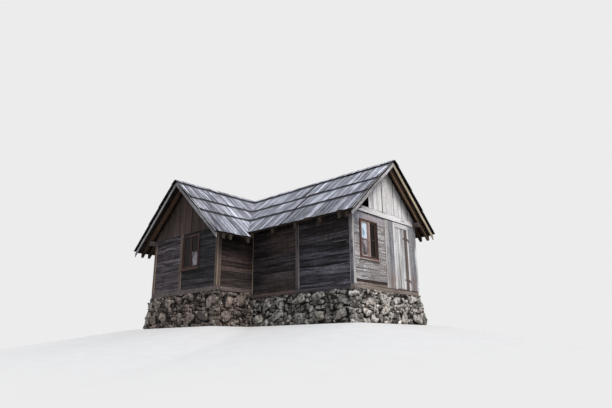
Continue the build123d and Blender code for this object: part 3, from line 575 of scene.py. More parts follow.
class Finishes:
    """Every finish of the hut, named for what it covers, with its pale, dark and stained colours."""

    # eave_shade is painted shade: a near-black veil over the top of the long walls, where the eaves cast
    # their shadow.
    eave_shade = Veil((14, 12, 12), ((2, 2.72, 3.12),), 1.3)
    square_end = WearAndShade((60, 48, 45), 0.036, 0.95)
    painted_end = WearAndShade((90, 86, 82), 0.03, 0.0)
    roof = TimberFinish(
        "roof_silver", "roof_board", (232, 234, 246), (80, 82, 92), (118, 120, 130), 0.45,
        # The roof's dark ends are painted shadow with dirt: on each butt and along the line under the next
        # course's butt.
        arris=WearAndShade((30, 30, 34), 0.013, 0.9), end=WearAndShade((52, 51, 57), 0.010, 0.85), contrast=1.6,
        tones=(0.54, 1.18), mottle=0.25, under=(46, 35, 28), under_share=0.95,
        veils=(Veil((80, 84, 96), ((2, 3.7, 3.1),), 0.4),))
    front = TimberFinish(
        "dark_planks", "dark_plank", (106, 103, 111), (33, 31, 35), (52, 48, 50), 0.4,
        arris=WearAndShade((18, 16, 17), 0.007, 0.6), end=WearAndShade((40, 37, 38), 0.03, 0.3), contrast=2.1,
        tones=(0.58, 1.22), mottle=0.45, veils=(Veil((66, 58, 54), ((2, 1.95, 2.45),), 0.8), eave_shade))
    front_brown = TimberFinish(
        "umber_planks", "dark_plank", (86, 80, 82), (28, 25, 27), (44, 37, 36), 0.45,
        arris=WearAndShade((17, 15, 15), 0.007, 0.6), end=WearAndShade((40, 37, 37), 0.03, 0.3), contrast=2.1,
        tones=(0.56, 1.12), mottle=0.45,
        veils=(Veil((94, 76, 69), ((0, 0.3, 1.0), (2, 2.0, 2.35))),
               Veil((94, 80, 74), ((0, 0.1, 0.5), (2, 1.75, 1.35)), 0.6), eave_shade))
    wing = TimberFinish(
        "mauve_planks", "dark_plank", (112, 104, 108), (42, 37, 40), (72, 63, 64), 0.4,
        arris=WearAndShade((24, 21, 22), 0.007, 0.6), end=WearAndShade((48, 43, 43), 0.03, 0.3), contrast=2.2,
        tones=(0.56, 1.22), mottle=0.5)
    wing_blue = TimberFinish(
        "slate_planks", "dark_plank", (80, 77, 81), (23, 22, 24), (48, 41, 39), 0.45,
        arris=WearAndShade((15, 13, 14), 0.007, 0.65), end=WearAndShade((40, 36, 36), 0.03, 0.3), contrast=2.2,
        tones=(0.48, 1.08), mottle=0.5)
    wing_brown = TimberFinish(
        "russet_planks", "dark_plank", (80, 69, 67), (28, 24, 24), (56, 45, 42), 0.45,
        arris=WearAndShade((20, 16, 15), 0.007, 0.6), end=WearAndShade((44, 37, 35), 0.03, 0.3), contrast=1.8,
        tones=(0.62, 1.1), mottle=0.4, veils=(Veil((90, 74, 69), ((2, 2.3, 2.1), (2, 1.55, 1.75)), 0.5),))
    gable = TimberFinish(
        "silver_planks", "silver_plank", (214, 211, 212), (88, 82, 81), (128, 118, 113), 0.5,
        arris=WearAndShade((96, 86, 82), 0.005, 0.35), end=square_end, contrast=1.6, tones=(0.80, 1.02),
        mottle=0.45, knots=0.9, veils=(Veil((112, 116, 126), ((1, -0.42, -0.6), (2, 2.15, 2.5)), 0.95),))
    header = TimberFinish(
        "header_plank", "silver_plank", (216, 214, 222), (136, 136, 143), (156, 140, 138), 0.5,
        arris=WearAndShade((96, 78, 74), 0.006, 0.6), end=square_end, contrast=0.9, tones=(0.86, 0.9),
        mottle=0.25, veils=(Veil((112, 116, 126), ((1, -0.3, -0.7),), 0.95),))
    low_plank = TimberFinish(
        "low_planks", "silver_plank", (180, 166, 158), (88, 77, 72), (118, 99, 90), 0.55,
        arris=WearAndShade((58, 47, 42), 0.006, 0.6), end=WearAndShade((60, 48, 42), 0.03, 0.8), tones=(0.85, 1.05),
        relief=0.005, mottle=0.4)
    brown_plank = TimberFinish(
        "brown_planks", "silver_plank", (86, 74, 70), (38, 31, 29), (50, 39, 35), 0.6,
        arris=WearAndShade((24, 20, 18), 0.012, 0.8), tones=(0.85, 1.1), relief=0.005, mottle=0.3)
    boards = TimberFinish(
        "white_boards", "silver_board", (252, 251, 252), (180, 178, 180), (204, 199, 194),
        arris=WearAndShade((44, 39, 38), 0.010, 0.9), tones=(0.92, 1.05), mottle=0.2)
    leaf = TimberFinish(
        "leaf_boards", "silver_board", (244, 243, 243), (138, 138, 139), (168, 164, 158), contrast=1.2,
        arris=WearAndShade((96, 90, 88), 0.008, 0.8), end=WearAndShade((96, 84, 78), 0.06, 0.7), tones=(0.84, 1.02),
        mottle=0.15)
    blue_board = TimberFinish(
        "blue_grey_boards", "silver_board", (176, 181, 190), (80, 82, 89), (124, 114, 108), 0.45,
        arris=WearAndShade((206, 204, 206), 0.010, 0.6), tones=(0.86, 1.02), mottle=0.35,
        veils=(Veil((128, 112, 104), ((2, 1.6, 1.3),), 0.8),
               Veil((214, 214, 218), ((1, 2.235, 2.25), (2, 2.6, 2.2)), 1.3)))
    brown_board = TimberFinish(
        "brown_boards", "silver_board", (128, 117, 111), (64, 56, 52), (86, 72, 64), 0.5,
        arris=WearAndShade((36, 30, 27), 0.009, 0.85), tones=(0.9, 1.05), mottle=0.25)
    wing_board = TimberFinish(
        "umber_boards", "silver_board", (116, 101, 96), (54, 45, 43), (84, 66, 58), 0.5,
        arris=WearAndShade((22, 18, 17), 0.007, 0.8), tones=(0.7, 1.15), mottle=0.3)
    rake = TimberFinish(
        "rake_silver", "silver_board", (204, 203, 207), (104, 102, 106), (128, 121, 117), 0.5,
        arris=WearAndShade((52, 48, 47), 0.009, 0.7), contrast=1.8, tones=(0.78, 1.0), mottle=0.5)
    rake_warm = TimberFinish(
        "rake_straw", "silver_board", (212, 203, 178), (120, 108, 88), (138, 120, 97), 0.4,
        arris=WearAndShade((62, 54, 46), 0.007, 0.5), contrast=1.2, tones=(0.9, 1.05), mottle=0.3)
    post = TimberFinish(
        "pale_posts", "light_post", (208, 205, 205), (126, 122, 122), (142, 132, 125),
        arris=WearAndShade((228, 224, 222), 0.012, 0.55), tones=(0.9, 1.06), mottle=0.25,
        # The veil darkens the corner post's front face, its shadow side: painted shade.
        veils=(Veil((84, 84, 94), ((1, -0.946, -0.953),), 1.25),))
    jamb = TimberFinish(
        "white_jambs", "light_post", (240, 238, 241), (160, 157, 158), (168, 158, 152), 0.3,
        arris=WearAndShade((240, 238, 240), 0.010, 0.5), tones=(0.86, 1.06), mottle=0.15)
    mid_post = TimberFinish(
        "brown_posts", "light_post", (128, 121, 121), (62, 57, 57), (82, 73, 71), 0.45,
        arris=WearAndShade((160, 150, 148), 0.012, 0.55), tones=(0.85, 1.1), contrast=1.3, mottle=0.35)
    grey_post = TimberFinish(
        "grey_posts", "light_post", (138, 123, 113), (62, 53, 48), (92, 78, 66), 0.5,
        arris=WearAndShade((172, 154, 136), 0.013, 0.6), tones=(0.82, 1.1), contrast=1.3, mottle=0.3,
        # The veil darkens the posts near the wing's corner, where the light falls more strongly: painted
        # shade.
        veils=(Veil((78, 67, 58), ((0, -0.32, -0.26),), 0.7),))
    sill = TimberFinish(
        "brown_sills", "frame_timber", (138, 125, 123), (66, 58, 57), (94, 79, 72), 0.45,
        arris=WearAndShade((44, 37, 35), 0.010, 0.6), tones=(0.88, 1.1), relief=0.005, mottle=0.35)
    pale_sill = TimberFinish(
        "pale_sills", "frame_timber", (168, 156, 149), (84, 74, 69), (108, 92, 83), 0.55,
        arris=WearAndShade((56, 45, 39), 0.012, 0.6), tones=(0.92, 1.05), relief=0.005, mottle=0.35)
    dark_sill = TimberFinish(
        "slate_sills", "frame_timber", (92, 89, 95), (36, 34, 37), (60, 52, 51), 0.4,
        arris=WearAndShade((22, 19, 19), 0.010, 0.5), contrast=1.4, tones=(0.9, 1.1), relief=0.005, mottle=0.4,
        veils=(Veil((104, 88, 80), ((0, 2.1, 1.6),), 0.8),))
    floor = TimberFinish(
        "floor_worn", "floor_board", (132, 112, 94), (78, 62, 50), (96, 80, 66),
        arris=WearAndShade((36, 28, 23), 0.006, 0.6))
    red = TimberFinish(
        "red_paint", "red_joinery", (98, 70, 64), (42, 28, 26), (122, 100, 94),
        arris=WearAndShade((46, 32, 30), 0.009, 0.75), end=painted_end, tones=(0.85, 1.05), relief=0.002,
        rough=0.7, veils=(Veil((40, 25, 23), ((1, 0.12, 0.3),), 3.0),))
    dark_red = TimberFinish(
        "dark_paint", "red_joinery", (74, 50, 44), (32, 22, 20), (46, 35, 32),
        arris=WearAndShade((104, 78, 70), 0.004, 0.35), end=painted_end, contrast=0.8, tones=(0.85, 1.05),
        relief=0.0015, rough=0.7)
    faded = TimberFinish(
        "faded_paint", "red_joinery", (196, 180, 176), (134, 112, 107), (140, 108, 98), 0.4,
        arris=WearAndShade((92, 68, 62), 0.006, 0.55), end=painted_end, contrast=0.9, tones=(0.92, 1.08),
        relief=0.0015, rough=0.72)
    # This near-black finish paints shade: it fills narrow splits and gaps where shadow falls.
    cleft = TimberFinish(
        "cleft_dark", "dark_plank", (20, 18, 21), (6, 6, 8), (10, 9, 9), arris=WearAndShade((10, 9, 10), 0.006, 0.6),
        end=WearAndShade((16, 15, 16), 0.03, 0.3), tones=(0.9, 1.0), relief=0.002)
    stone = StoneFinish(
        "cool_stone", "field_stone", (168, 164, 158), (38, 36, 34), (104, 92, 78), (0.30, 1.35))
    warm_stone = StoneFinish(
        "warm_stone", "field_stone", (226, 220, 214), (50, 45, 42), (144, 124, 106), (0.2, 1.4))
    brown_stone = StoneFinish(
        "brown_stone", "field_stone", (156, 144, 136), (48, 42, 39), (112, 93, 80), (0.32, 1.35))
    # The panes' colours paint reflection and shade: sky_pane a pale sky reflection, mixed_pane patches of it
    # over dark, dark_pane only the dark of the room behind.
    sky_pane = PaneFinish("pane_sky", "pane", (216, 234, 248), (120, 150, 176), 0.02, 0.08)
    mixed_pane = PaneFinish("pane_mixed", "pane", (178, 168, 174), (34, 26, 24), 0.10, 0.15, 0.2)
    dark_pane = PaneFinish("pane_dark", "pane", (26, 12, 11), (10, 5, 5), 0.05, 0.2, 0.02)
    iron = IronFinish("rusted_iron", "wrought_iron")


@dataclass(frozen=True)
class Section:
    """How finely a timber's outline is drawn, from its back round to its face."""

    face: int
    back: int = 0
    side: int = 0
    steps: int = 1

    def outline(self) -> dict[str, Array]:
        """Work out the points round a timber, as shares of its width and depth.

        Each arris is a quarter circle of radius 1 that the timber scales by its own arris. Between
        arrises the points lie evenly on the flat.

        Returns:
            Arrays over the points: ta and tb are shares of the width and the depth, ra and rb are
            steps in from the corner, ia and ib point inwards, and da and db are the shares of the
            width and the depth between a point and the nearest arris.
        """
        turn = np.linspace(0.0, math.pi / 2, self.steps + 1)
        rise, fall = 1.0 - np.cos(turn), 1.0 - np.sin(turn)
        back, up, face = ((np.arange(n) + 1.0) / (n + 1.0) for n in (self.back, self.side, self.face))
        face, down = face[::-1], up[::-1]
        near = [np.minimum(flat, 1.0 - flat) for flat in (back, up, face, down)]
        rows = (
            (0, 0, rise, fall, 0.7, 0.7, 0, 0),
            (back, 0, 0, 0, 0, 1, near[0], 0),
            (1, 0, -fall, rise, -0.7, 0.7, 0, 0),
            (1, up, 0, 0, -1, 0, 0, near[1]),
            (1, 1, -rise, -fall, -0.7, -0.7, 0, 0),
            (face, 1, 0, 0, 0, -1, near[2], 0),
            (0, 1, fall, -rise, 0.7, -0.7, 0, 0),
            (0, down, 0, 0, 1, 0, 0, near[3]))
        columns = np.concatenate([np.stack(np.broadcast_arrays(*row)) for row in rows], axis=1)
        return dict(zip(("ta", "tb", "ra", "rb", "ia", "ib", "da", "db"), columns))


PLANK = Section(face=3, steps=2).outline()
SQUARED = Section(face=1, back=1, side=1, steps=2).outline()
SAWN = Section(face=3, back=1).outline()
SLIM = Section(face=1).outline()


@dataclass(frozen=True)
class Place:
    """A timber's own axes: along it, across it and out of its face."""

    origin: Array
    along: Array
    across: Array
    out: Array

    def upright(self) -> "Place":
        """The same wall's axes for a timber that stands."""
        return Place(self.origin, UP, self.along, self.out)

    def at(self, along: Array, across: Array, out: Array) -> Array:
        """Give the points at some measures along these axes."""
        return (self.origin + along[..., None] * self.along + across[..., None] * self.across
                + out[..., None] * self.out)


def wall_face(axis: int, level: float, out: Array) -> Place:
    """Axes of a wall's face, which lies at a level of one axis and looks out."""
    origin = np.zeros(3)
    origin[axis] = level
    return Place(origin, NORTH if axis == 0 else EAST, UP, out)


@dataclass
class Form:
    """A growing mesh of closed pieces with a grain map and values for wear and painted shade."""

    name: str
    pieces: list[tuple[Array, ...]] = field(default_factory=list)
    count: int = 0

    def __post_init__(self) -> None:
        """Seed this mesh's own random numbers from its name."""
        self.random = seeded(self.name)

    def keep(self, points: Array, wear: Array, loops: Array, sizes: Array, grain: Array) -> None:
        """Take in one closed piece, or several at once.

        Args:
            points, wear: A row for each vertex.
            loops: Vertex numbers of all faces, one face after another.
            sizes: The number of corners of each face.
            grain: The grain map at each of those corners.
        """
        self.pieces.append((points, wear, loops + self.count, sizes, grain))
        self.count += len(points)

    def timber(self, place: Place, length: Span, across: tuple[Measure, Measure],
               depth: tuple[Measure, Measure], outline: dict[str, Array] = SQUARED, step: float = 0.12,
               arris: Measure = 0.006, hew: float = 0.0, bulge: float = 0.0, cup: float = 0.0,
               ends: tuple[Curve, ...] = (), tone: float | None = None,
               stations: Array | None = None, covered: float | None = None) -> None:
        """Add one timber as a grid of outlines along it.

        A point lies at l along, a across and b out of the face. a runs from the timber's low side
        to its high side and b from its back to its face, each a number or a function of l. The
        arris is rounded by its radius, the hewn surface sinks by hew times a wave of l and of the
        point's number, bulge raises the middle of the face and cup lifts both of its sides. Each
        end may depend on a, and the stations between spread evenly from end to end.

        Args:
            place: The timber's axes.
            length: Where it starts and ends along them.
            across, depth: Its low and high sides, and its back and its face.
            outline: The points round it.
            step: The rough distance between stations.
            arris, hew, bulge, cup: The sizes named above.
            ends: Functions of a that give the start and the end instead.
            tone: Its own lightness from 0 to 1, or random.
            stations: Places of the stations along it, where a step in its outline needs them.
            covered: Where along it another timber's end lies over it.
        """
        if stations is None:
            count = max(2, int(round((length[1] - length[0]) / step)) + 1)
            stations = np.linspace(length[0], length[1], count)
        if covered is not None:
            stations = np.unique(np.append(stations, [covered - 0.001, covered]))
        low, high, back, face, soft = (
            np.broadcast_to(m(stations) if callable(m) else m, stations.shape)[:, None]
            for m in (*across, *depth, arris))
        soft = np.minimum(soft, 0.45 * np.minimum(high - low, face - back))
        a = low + (high - low) * outline["ta"] + soft * outline["ra"]
        b = back + (face - back) * outline["tb"] + soft * outline["rb"]
        waves = self.waves(stations, a.shape[1])
        a = a + hew * waves * outline["ia"]
        b = b + hew * waves * outline["ib"]
        arch = 4.0 * outline["ta"] * (1.0 - outline["ta"])
        b = b + bulge * arch * (outline["tb"] > 0.99) + cup * (1.0 - arch)
        reach = np.broadcast_to(stations[:, None], a.shape)
        if ends:
            first = ends[0](a[:1])
            last = np.maximum(ends[1](a[-1:]), first + 0.004)
            tight = 0.001 * np.arange(len(stations))[:, None] / len(stations)
            reach = np.clip(reach, first + tight, last - tight[::-1])
            reach[0], reach[-1] = first[0], last[0]
        edge = outline["da"] * (high - low) + outline["db"] * (face - back)
        tip = np.minimum(reach - reach[:1], reach[-1:] - reach)
        # Where another timber's end lies over it counts as an end too, so the end's colour paints a line of
        # shadow with dirt there.
        if covered is not None:
            tip = np.minimum(tip, np.abs(reach - covered))
        tone = self.random.uniform() if tone is None else tone
        wear = np.stack([edge, tip, np.full_like(edge, tone)], axis=-1)
        self.skin(place.at(reach, a, b), wear, reach, a, b)

    def waves(self, stations: Array, count: int) -> Array:
        """Sum sines of the length and the point's number into a surface wave from 0 to 1."""
        number = np.arange(count)[None, :]
        total = np.zeros((len(stations), count))
        for size, turns in ((0.5, 2.6), (0.3, 6.1), (0.2, 14.0)):
            turn = turns * stations[:, None] * self.random.uniform(0.8, 1.25)
            turn = turn + number * self.random.uniform(0.3, 1.3)
            total += size * np.sin(turn + self.random.uniform(0, TURN))
        return 0.5 + 0.5 * total

    def skin(self, points: Array, wear: Array, along: Array, a: Array, b: Array) -> None:
        """Join a grid of outlines into a closed tube with a cap at each end.

        The grain map runs along the timber in u and round it in v, both in metres, and starts at
        a random place. A negative volume means that the faces look inwards, so they are turned.

        Args:
            points: The grid of points, stations by outline.
            wear: The values for wear and painted shade on that grid.
            along, a, b: Each point's measures in the timber's own axes.
        """
        rows, ring = points.shape[:2]
        foot = np.arange(rows - 1)[:, None] * ring
        here = np.arange(ring)[None, :]
        beside = (here + 1) % ring
        quads = np.stack([foot + here, foot + beside, foot + ring + beside, foot + ring + here],
                         axis=-1).reshape(-1, 4)
        caps = (np.arange(ring)[::-1], (rows - 1) * ring + np.arange(ring))
        flat = points.reshape(-1, 3)
        four = flat[quads]
        volume = sum(np.einsum("ij,ij->", four[:, 0], np.cross(four[:, i], four[:, i + 1])) for i in (1, 2))
        for cap in caps:
            fan = flat[cap]
            volume += np.einsum("j,ij->", fan[0], np.cross(fan[1:-1], fan[2:]))

        girth = np.hypot(np.diff(a, axis=1, append=a[:, :1]), np.diff(b, axis=1, append=b[:, :1]))
        v = np.concatenate([np.zeros((rows, 1)), np.cumsum(girth, axis=1)], axis=1)
        low, high = along[:-1], along[1:]
        us = (low, np.roll(low, -1, axis=1), np.roll(high, -1, axis=1), high)
        vs = (v[:-1, :-1], v[:-1, 1:], v[1:, 1:], v[1:, :-1])
        quad_map = np.stack([np.stack(uv, axis=-1) for uv in zip(us, vs)], axis=2).reshape(-1, 4, 2)
        ends = np.stack([b.reshape(-1), a.reshape(-1)], axis=-1)
        if volume < 0:
            quads, quad_map = quads[:, ::-1], quad_map[:, ::-1]
            caps = tuple(cap[::-1] for cap in caps)
        grain = np.concatenate([quad_map.reshape(-1, 2), *(ends[cap] for cap in caps)])
        self.keep(flat, wear.reshape(-1, 3), np.concatenate([quads.reshape(-1), *caps]),
                  np.concatenate([np.full(len(quads), 4), np.full(2, ring)]),
                  grain + self.random.uniform(0.0, 40.0, 2))

    def build(self, finish: Finish, node: str, body: Body = Body.CABIN) -> None:
        """Turn what was gathered into a piece that rides on a body.

        Args:
            finish: The piece's finish.
            node: The CAD node that it stands for.
            body: The body it moves with.
        """
        points, wear, loops, sizes, grain = (np.concatenate(part) for part in zip(*self.pieces))
        mesh = bpy.data.meshes.new(self.name)
        mesh.vertices.add(len(points))
        mesh.vertices.foreach_set("co", points.astype(np.float32).ravel())
        mesh.loops.add(len(loops))
        mesh.loops.foreach_set("vertex_index", loops.astype(np.int32))
        mesh.polygons.add(len(sizes))
        starts = np.concatenate([[0], np.cumsum(sizes)[:-1]])
        mesh.polygons.foreach_set("loop_start", starts.astype(np.int32))
        mesh.update(calc_edges=True)
        mesh.validate()
        mesh.uv_layers.new(name="grain").data.foreach_set("uv", grain.astype(np.float32).ravel())
        worn_and_shaded = mesh.attributes.new("wear", "FLOAT_VECTOR", "POINT")
        worn_and_shaded.data.foreach_set("vector", wear.astype(np.float32).ravel())
        mesh.shade_smooth()
        mesh.set_sharp_from_angle(angle=math.radians(38.0))
        mesh.materials.append(finish.material())
        piece = placed(self.name, mesh)
        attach(piece, body.value)
        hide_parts(node)
        LOG.info("%s: %d triangles, rides on %s", self.name, int((sizes - 2).sum()), body.value)


def placed(name: str, data: bpy.types.ID) -> bpy.types.Object:
    """Put a mesh, a lamp or a camera into the scene."""
    thing = bpy.data.objects.new(name, data)
    bpy.context.scene.collection.objects.link(thing)
    return thing


def boxed(form: Form, low: Array, high: Array, out: Array, **how: object) -> None:
    """Add a squared timber that fills a box, with its grain along the longest side.

    Args:
        form: The mesh that takes it.
        low, high: The box.
        out: The side that is its face.
        how: The other measures of Form.timber.
    """
    half = (high - low) / 2
    axes = (EAST, NORTH, UP)
    face = int(np.argmax(np.abs(out)))
    first, second = (axis for axis in range(3) if axis != face)
    run, cross = (second, first) if half[second] > half[first] else (first, second)
    place = Place((low + high) / 2, axes[run], axes[cross], np.sign(out[face]) * axes[face])
    form.timber(place, *((-half[axis], half[axis]) for axis in (run, cross, face)), **how)


@dataclass
class House:
    """Lines of the building, read from the frame."""

    east: float = corners("sills_main")[1][0]
    south: float = corners("sills_main")[0][1]
    north: float = corners("sills_main")[1][1]
    base: float = corners("sills_main")[0][2]
    west: float = corners("sills_wing")[0][0]
    wing_south: float = corners("sills_wing")[0][1]
    wing_east: float = corners("sills_wing")[1][0]
    wing_base: float = corners("plinth_left")[1][2]
    main_ridge: float = (corners("roof_main_front")[1][1] + corners("roof_main_back")[0][1]) / 2
    wing_ridge: float = (corners("roof_wing_left")[1][0] + corners("roof_wing_right")[0][0]) / 2

    def __post_init__(self) -> None:
        """Set up the faces of its walls."""
        self.front_face = wall_face(1, self.south, -NORTH)
        self.back_face = wall_face(1, self.north, NORTH)
        self.east_face = wall_face(0, self.east, EAST)
        self.west_face = wall_face(0, self.west, -EAST)
        self.wing_face = wall_face(1, self.wing_south, -NORTH)
        self.side_face = wall_face(0, self.wing_east, EAST)


HOUSE = House()


@dataclass
class DryStone:
    """The plinth: rubble laid by recursive splitting of each face, over a core that takes the joints' full
    dark, painted shade with soil.
    """

    ledge: float = 0.09
    toe: float = 0.19
    lean: float = 0.10 / 0.87
    overlap: float = 1.06
    sunk: float = 0.035
    core_sunk: float = 0.075
    core_back: float = -0.33
    clear: float = 0.012
    far: float = 9.0

    def reach(self, height: Array | float) -> Array | float:
        """How far the battered face stands out of the wall at a height."""
        return self.toe - self.lean * height

    def split(self, random: np.random.Generator, sizes: Span, s: Span, z: Span, found: list[Cell]) -> None:
        """Split a rectangle of the face into cells, larger ones lower down.

        Args:
            random: The random numbers.
            sizes: Limits of a stone's width near the top.
            s, z: The rectangle's limits along the wall and upwards.
            found: The list that takes each cell as middle and half size.
        """
        wide, tall = s[1] - s[0], z[1] - z[0]
        low_share = 1.0 - (z[0] + z[1]) / 2
        widest = random.uniform(*sizes) + 0.12 * max(low_share, 0.0) * random.uniform(0.0, 1.0)
        tallest = widest * random.uniform(0.55, 1.0)
        if wide > widest and wide / widest >= tall / tallest:
            at = s[0] + wide * random.uniform(0.34, 0.66)
            for part in ((s[0], at), (at, s[1])):
                self.split(random, sizes, part, z, found)
        elif tall > tallest:
            at = z[0] + tall * random.uniform(0.34, 0.66)
            for part in ((z[0], at), (at, z[1])):
                self.split(random, sizes, s, part, found)
        else:
            found.append(((s[0] + s[1]) / 2, (z[0] + z[1]) / 2, wide / 2, tall / 2))

    @staticmethod
    def cobble(cells: int) -> tuple[Array, Array]:
        """A cube whose six faces are grids of cells, with shared edges merged.

        Args:
            cells: Cells along each edge.

        Returns:
            The points between -1 and 1, and the quads that join them, facing outwards.
        """
        line = np.linspace(-1.0, 1.0, cells + 1)
        p, q = np.meshgrid(line, line, indexing="ij")
        one = np.ones_like(p)
        faces = [np.stack(order, axis=-1).reshape(-1, 3) for order in (
            (one, p, q), (-one, q, p), (q, one, p), (p, -one, q), (p, q, one), (q, p, -one))]
        quads = np.concatenate([grid(cells) + number * (cells + 1) ** 2 for number in range(6)])
        points, same = np.unique(np.concatenate(faces).round(6), axis=0, return_inverse=True)
        return points, same.reshape(-1)[quads]

    def rubble(self, form: Form, place: Place, cells: Array, cap: float, warmth: float, sunk: float,
               turns: Span, deep: Span = (0.085, 0.13), fine: int = 5, cuts: int = 6,
               darkest: float = 0.0) -> None:
        """Shape all stones of one face at once.

        A stone is a cube whose every point c is divided by g, the power sum of its own measures
        and of n.c / h over some planes that cut its corners and tilt its face. The power sets how
        crisp its arrises are. Noise roughens it, then it is scaled to its cell, turned by small
        angles and laid against the battered face. Its foot doesn't pass the ground, and what rises
        past the top stays in front of the wall.

        Args:
            form: The mesh that takes the stones.
            place: The face's axes, with z from the ground.
            cells: Middle and half size of each stone's cell.
            cap: The plinth's top.
            warmth: How warm these stones are, from 0 to 1.
            sunk: How far their faces lie behind the largest stones' faces.
            turns: Where the wall's face turns an outer corner, far off if it doesn't.
            deep: Limits of half their depth.
            fine: Cells along each edge of the cube.
            cuts: Planes that cut each stone.
            darkest: The least lightness of a stone, from 0 to 1.
        """
        random = form.random
        cube, quads = self.cobble(fine)
        many = len(cells)

        def each(low: float, high: float) -> Array:
            """Draw one random number for each stone, as a column."""
            return random.uniform(low, high, (many, 1))

        power = each(14.0, 40.0)
        total = (np.abs(cube)[None] ** power[..., None]).sum(axis=-1)
        for cut in range(cuts):
            way = random.normal(size=(many, 1, 3))
            level = each(0.86, 1.36)
            if cut < 2:
                way = np.concatenate([0.42 * way[..., :2], np.ones((many, 1, 1))], axis=-1)
                level = each(0.74, 0.98)
            way /= np.linalg.norm(way, axis=-1, keepdims=True)
            total = total + (np.maximum((cube[None] * way).sum(axis=-1), 0.0) / level) ** power
        shape = cube[None] / (total ** (1.0 / power))[..., None]
        shape = shape + random.normal(scale=0.022, size=shape.shape)
        depth = random.uniform(*deep, many)
        half = np.stack([cells[:, 2] * self.overlap, cells[:, 3] * self.overlap, depth], axis=-1)
        local = shape * half[:, None, :]
        turn = random.normal(scale=(0.30, 0.12, 0.12), size=(many, 3))
        for axis, (i, j) in enumerate(((0, 1), (1, 2), (0, 2))):
            cos, sin = np.cos(turn[:, axis])[:, None], np.sin(turn[:, axis])[:, None]
            first, second = local[..., i].copy(), local[..., j].copy()
            local[..., i], local[..., j] = first * cos - second * sin, first * sin + second * cos
        s = cells[:, 0][:, None] + local[..., 0]
        z = np.maximum(cells[:, 1][:, None] + local[..., 1], 0.001)
        proud = random.uniform(-0.030, 0.016, many)[:, None] - sunk
        out = self.reach(cells[:, 1])[:, None] - depth[:, None] + proud + local[..., 2]
        z = np.minimum(z, cap + each(-0.03, 0.065))
        out = np.where(z > cap, np.maximum(out, self.clear), out)
        points = place.at(s, z, out).reshape(-1, 3)
        grown = self.reach(z) - sunk
        # behind is each point's depth behind the face, round outer corners too; the finish paints shade with
        # soil by it.
        behind = np.minimum(np.minimum(grown - out, s - turns[0] + grown), turns[1] + grown - s)
        tone = np.broadcast_to(each(darkest, 1.0), s.shape)
        warm = np.broadcast_to(np.clip(random.normal(warmth, 0.25, (many, 1)), 0.0, 1.0), s.shape)
        wear = np.stack([np.maximum(behind, 0.0), warm, tone], axis=-1).reshape(-1, 3)
        faces = (quads[None] + (np.arange(many) * len(cube))[:, None, None]).reshape(-1, 4)
        if np.linalg.det(np.stack([place.along, place.across, place.out])) < 0:
            faces = faces[:, ::-1]
        loops = faces.reshape(-1)
        form.keep(points, wear, loops, np.full(len(faces), 4), points[loops][:, :2])

    def largest(self, node: str, place: Place) -> Array:
        """Read the run's largest stones from its solid.

        Their faces are the triangles whose corners all lie on the outermost battered plane, and
        triangles that share corners belong to one stone.

        Args:
            node: The CAD run.
            place: The face's axes.

        Returns:
            Middle and half size of each along the wall and upwards.
        """
        points, triangles = facets(node)
        points = points - place.origin
        same = np.unique(points.round(4), axis=0, return_inverse=True)[1].reshape(-1)
        s, z, out = points @ place.along, points[:, 2], points @ place.out
        proud = np.abs(out - self.reach(z)) < 0.004
        triangles = triangles[proud[triangles].all(axis=1)]
        label = joined(same[triangles], same.max() + 1)[same[triangles[:, 0]]]
        found = []
        for one in np.unique(label):
            stone = triangles[label == one].reshape(-1)
            low, high = (np.array((limit(s[stone]), limit(z[stone]))) for limit in (np.min, np.max))
            found.append((*(low + high) / 2, *(high - low) / 2))
        return np.array(found)

    def run(self, node: str, start: Span, end: Span, top: float, turned: tuple[bool, bool],
            finish: StoneFinish, warmth: float, sizes: Span = (0.12, 0.28)) -> None:
        """Build one run of the plinth from start to end, outwards to the right of its direction.

        Args:
            node: The CAD run that it stands for.
            start, end: Where the wall's face starts and ends.
            top: The height of the run.
            turned: Whether it turns an outer corner at its start and its end.
            finish: The stone.
            warmth: How warm the stones are.
            sizes: Limits of the width of a stone near the top.
        """
        form = Form(node + "_stones")
        start, end = np.array((*start, 0.0)), np.array((*end, 0.0))
        long = float(np.linalg.norm(end - start))
        along = (end - start) / long
        place = Place(start, along, UP, np.cross(along, UP))
        first, last = -self.ledge * turned[0], long + self.ledge * turned[1]
        cells: list[Cell] = []
        self.split(form.random, sizes, (first, last), (0.0, top + 0.02), cells)
        turns = (0.0 if turned[0] else -self.far, long if turned[1] else long + self.far)
        large = self.largest(node, place)
        rubble = np.array(cells)
        grown = self.reach(rubble[:, 1]) - self.sunk
        low_end, high_end = -grown * turned[0], long + grown * turned[1]
        rubble[:, 0] = low_end + (rubble[:, 0] - first) / (last - first) * (high_end - low_end)
        apart = np.abs(rubble[:, None, :2] - large[None, :, :2]) / large[None, :, 2:]
        rubble = rubble[(apart.max(axis=-1) > 0.95).all(axis=1)]
        self.rubble(form, place, large, top, warmth, 0.0, turns, (0.11, 0.14), 8, 7, 0.5)
        self.rubble(form, place, rubble, top, warmth, self.sunk, turns)
        loose = form.random.uniform(size=(int(0.4 * len(cells)), 4))
        small = (first, 0.03, 0.022, 0.018) + loose * (last - first, top - 0.06, 0.035, 0.024)
        self.rubble(form, place, small, top, warmth, self.sunk + 0.01, turns, (0.05, 0.08), 2)
        foot, head = (self.reach(z) - self.sunk - self.core_sunk for z in (0.0, top))
        front = lambda z: foot + (head - foot) * z / top
        edges = [lambda z, e=e, m=m: e + m * front(z) for e, m in ((0.0, -turned[0]), (long, turned[1]))]
        form.timber(place.upright(), (0.0, top - 0.002), tuple(edges), (self.core_back, front),
                    SLIM, step=0.2, arris=0.004, tone=0.0)
        # The core's depth value is set deep so that it takes the joints' full dark: painted shade with soil.
        form.pieces[-1][1][:, 0] = 0.2
        form.build(finish, node)

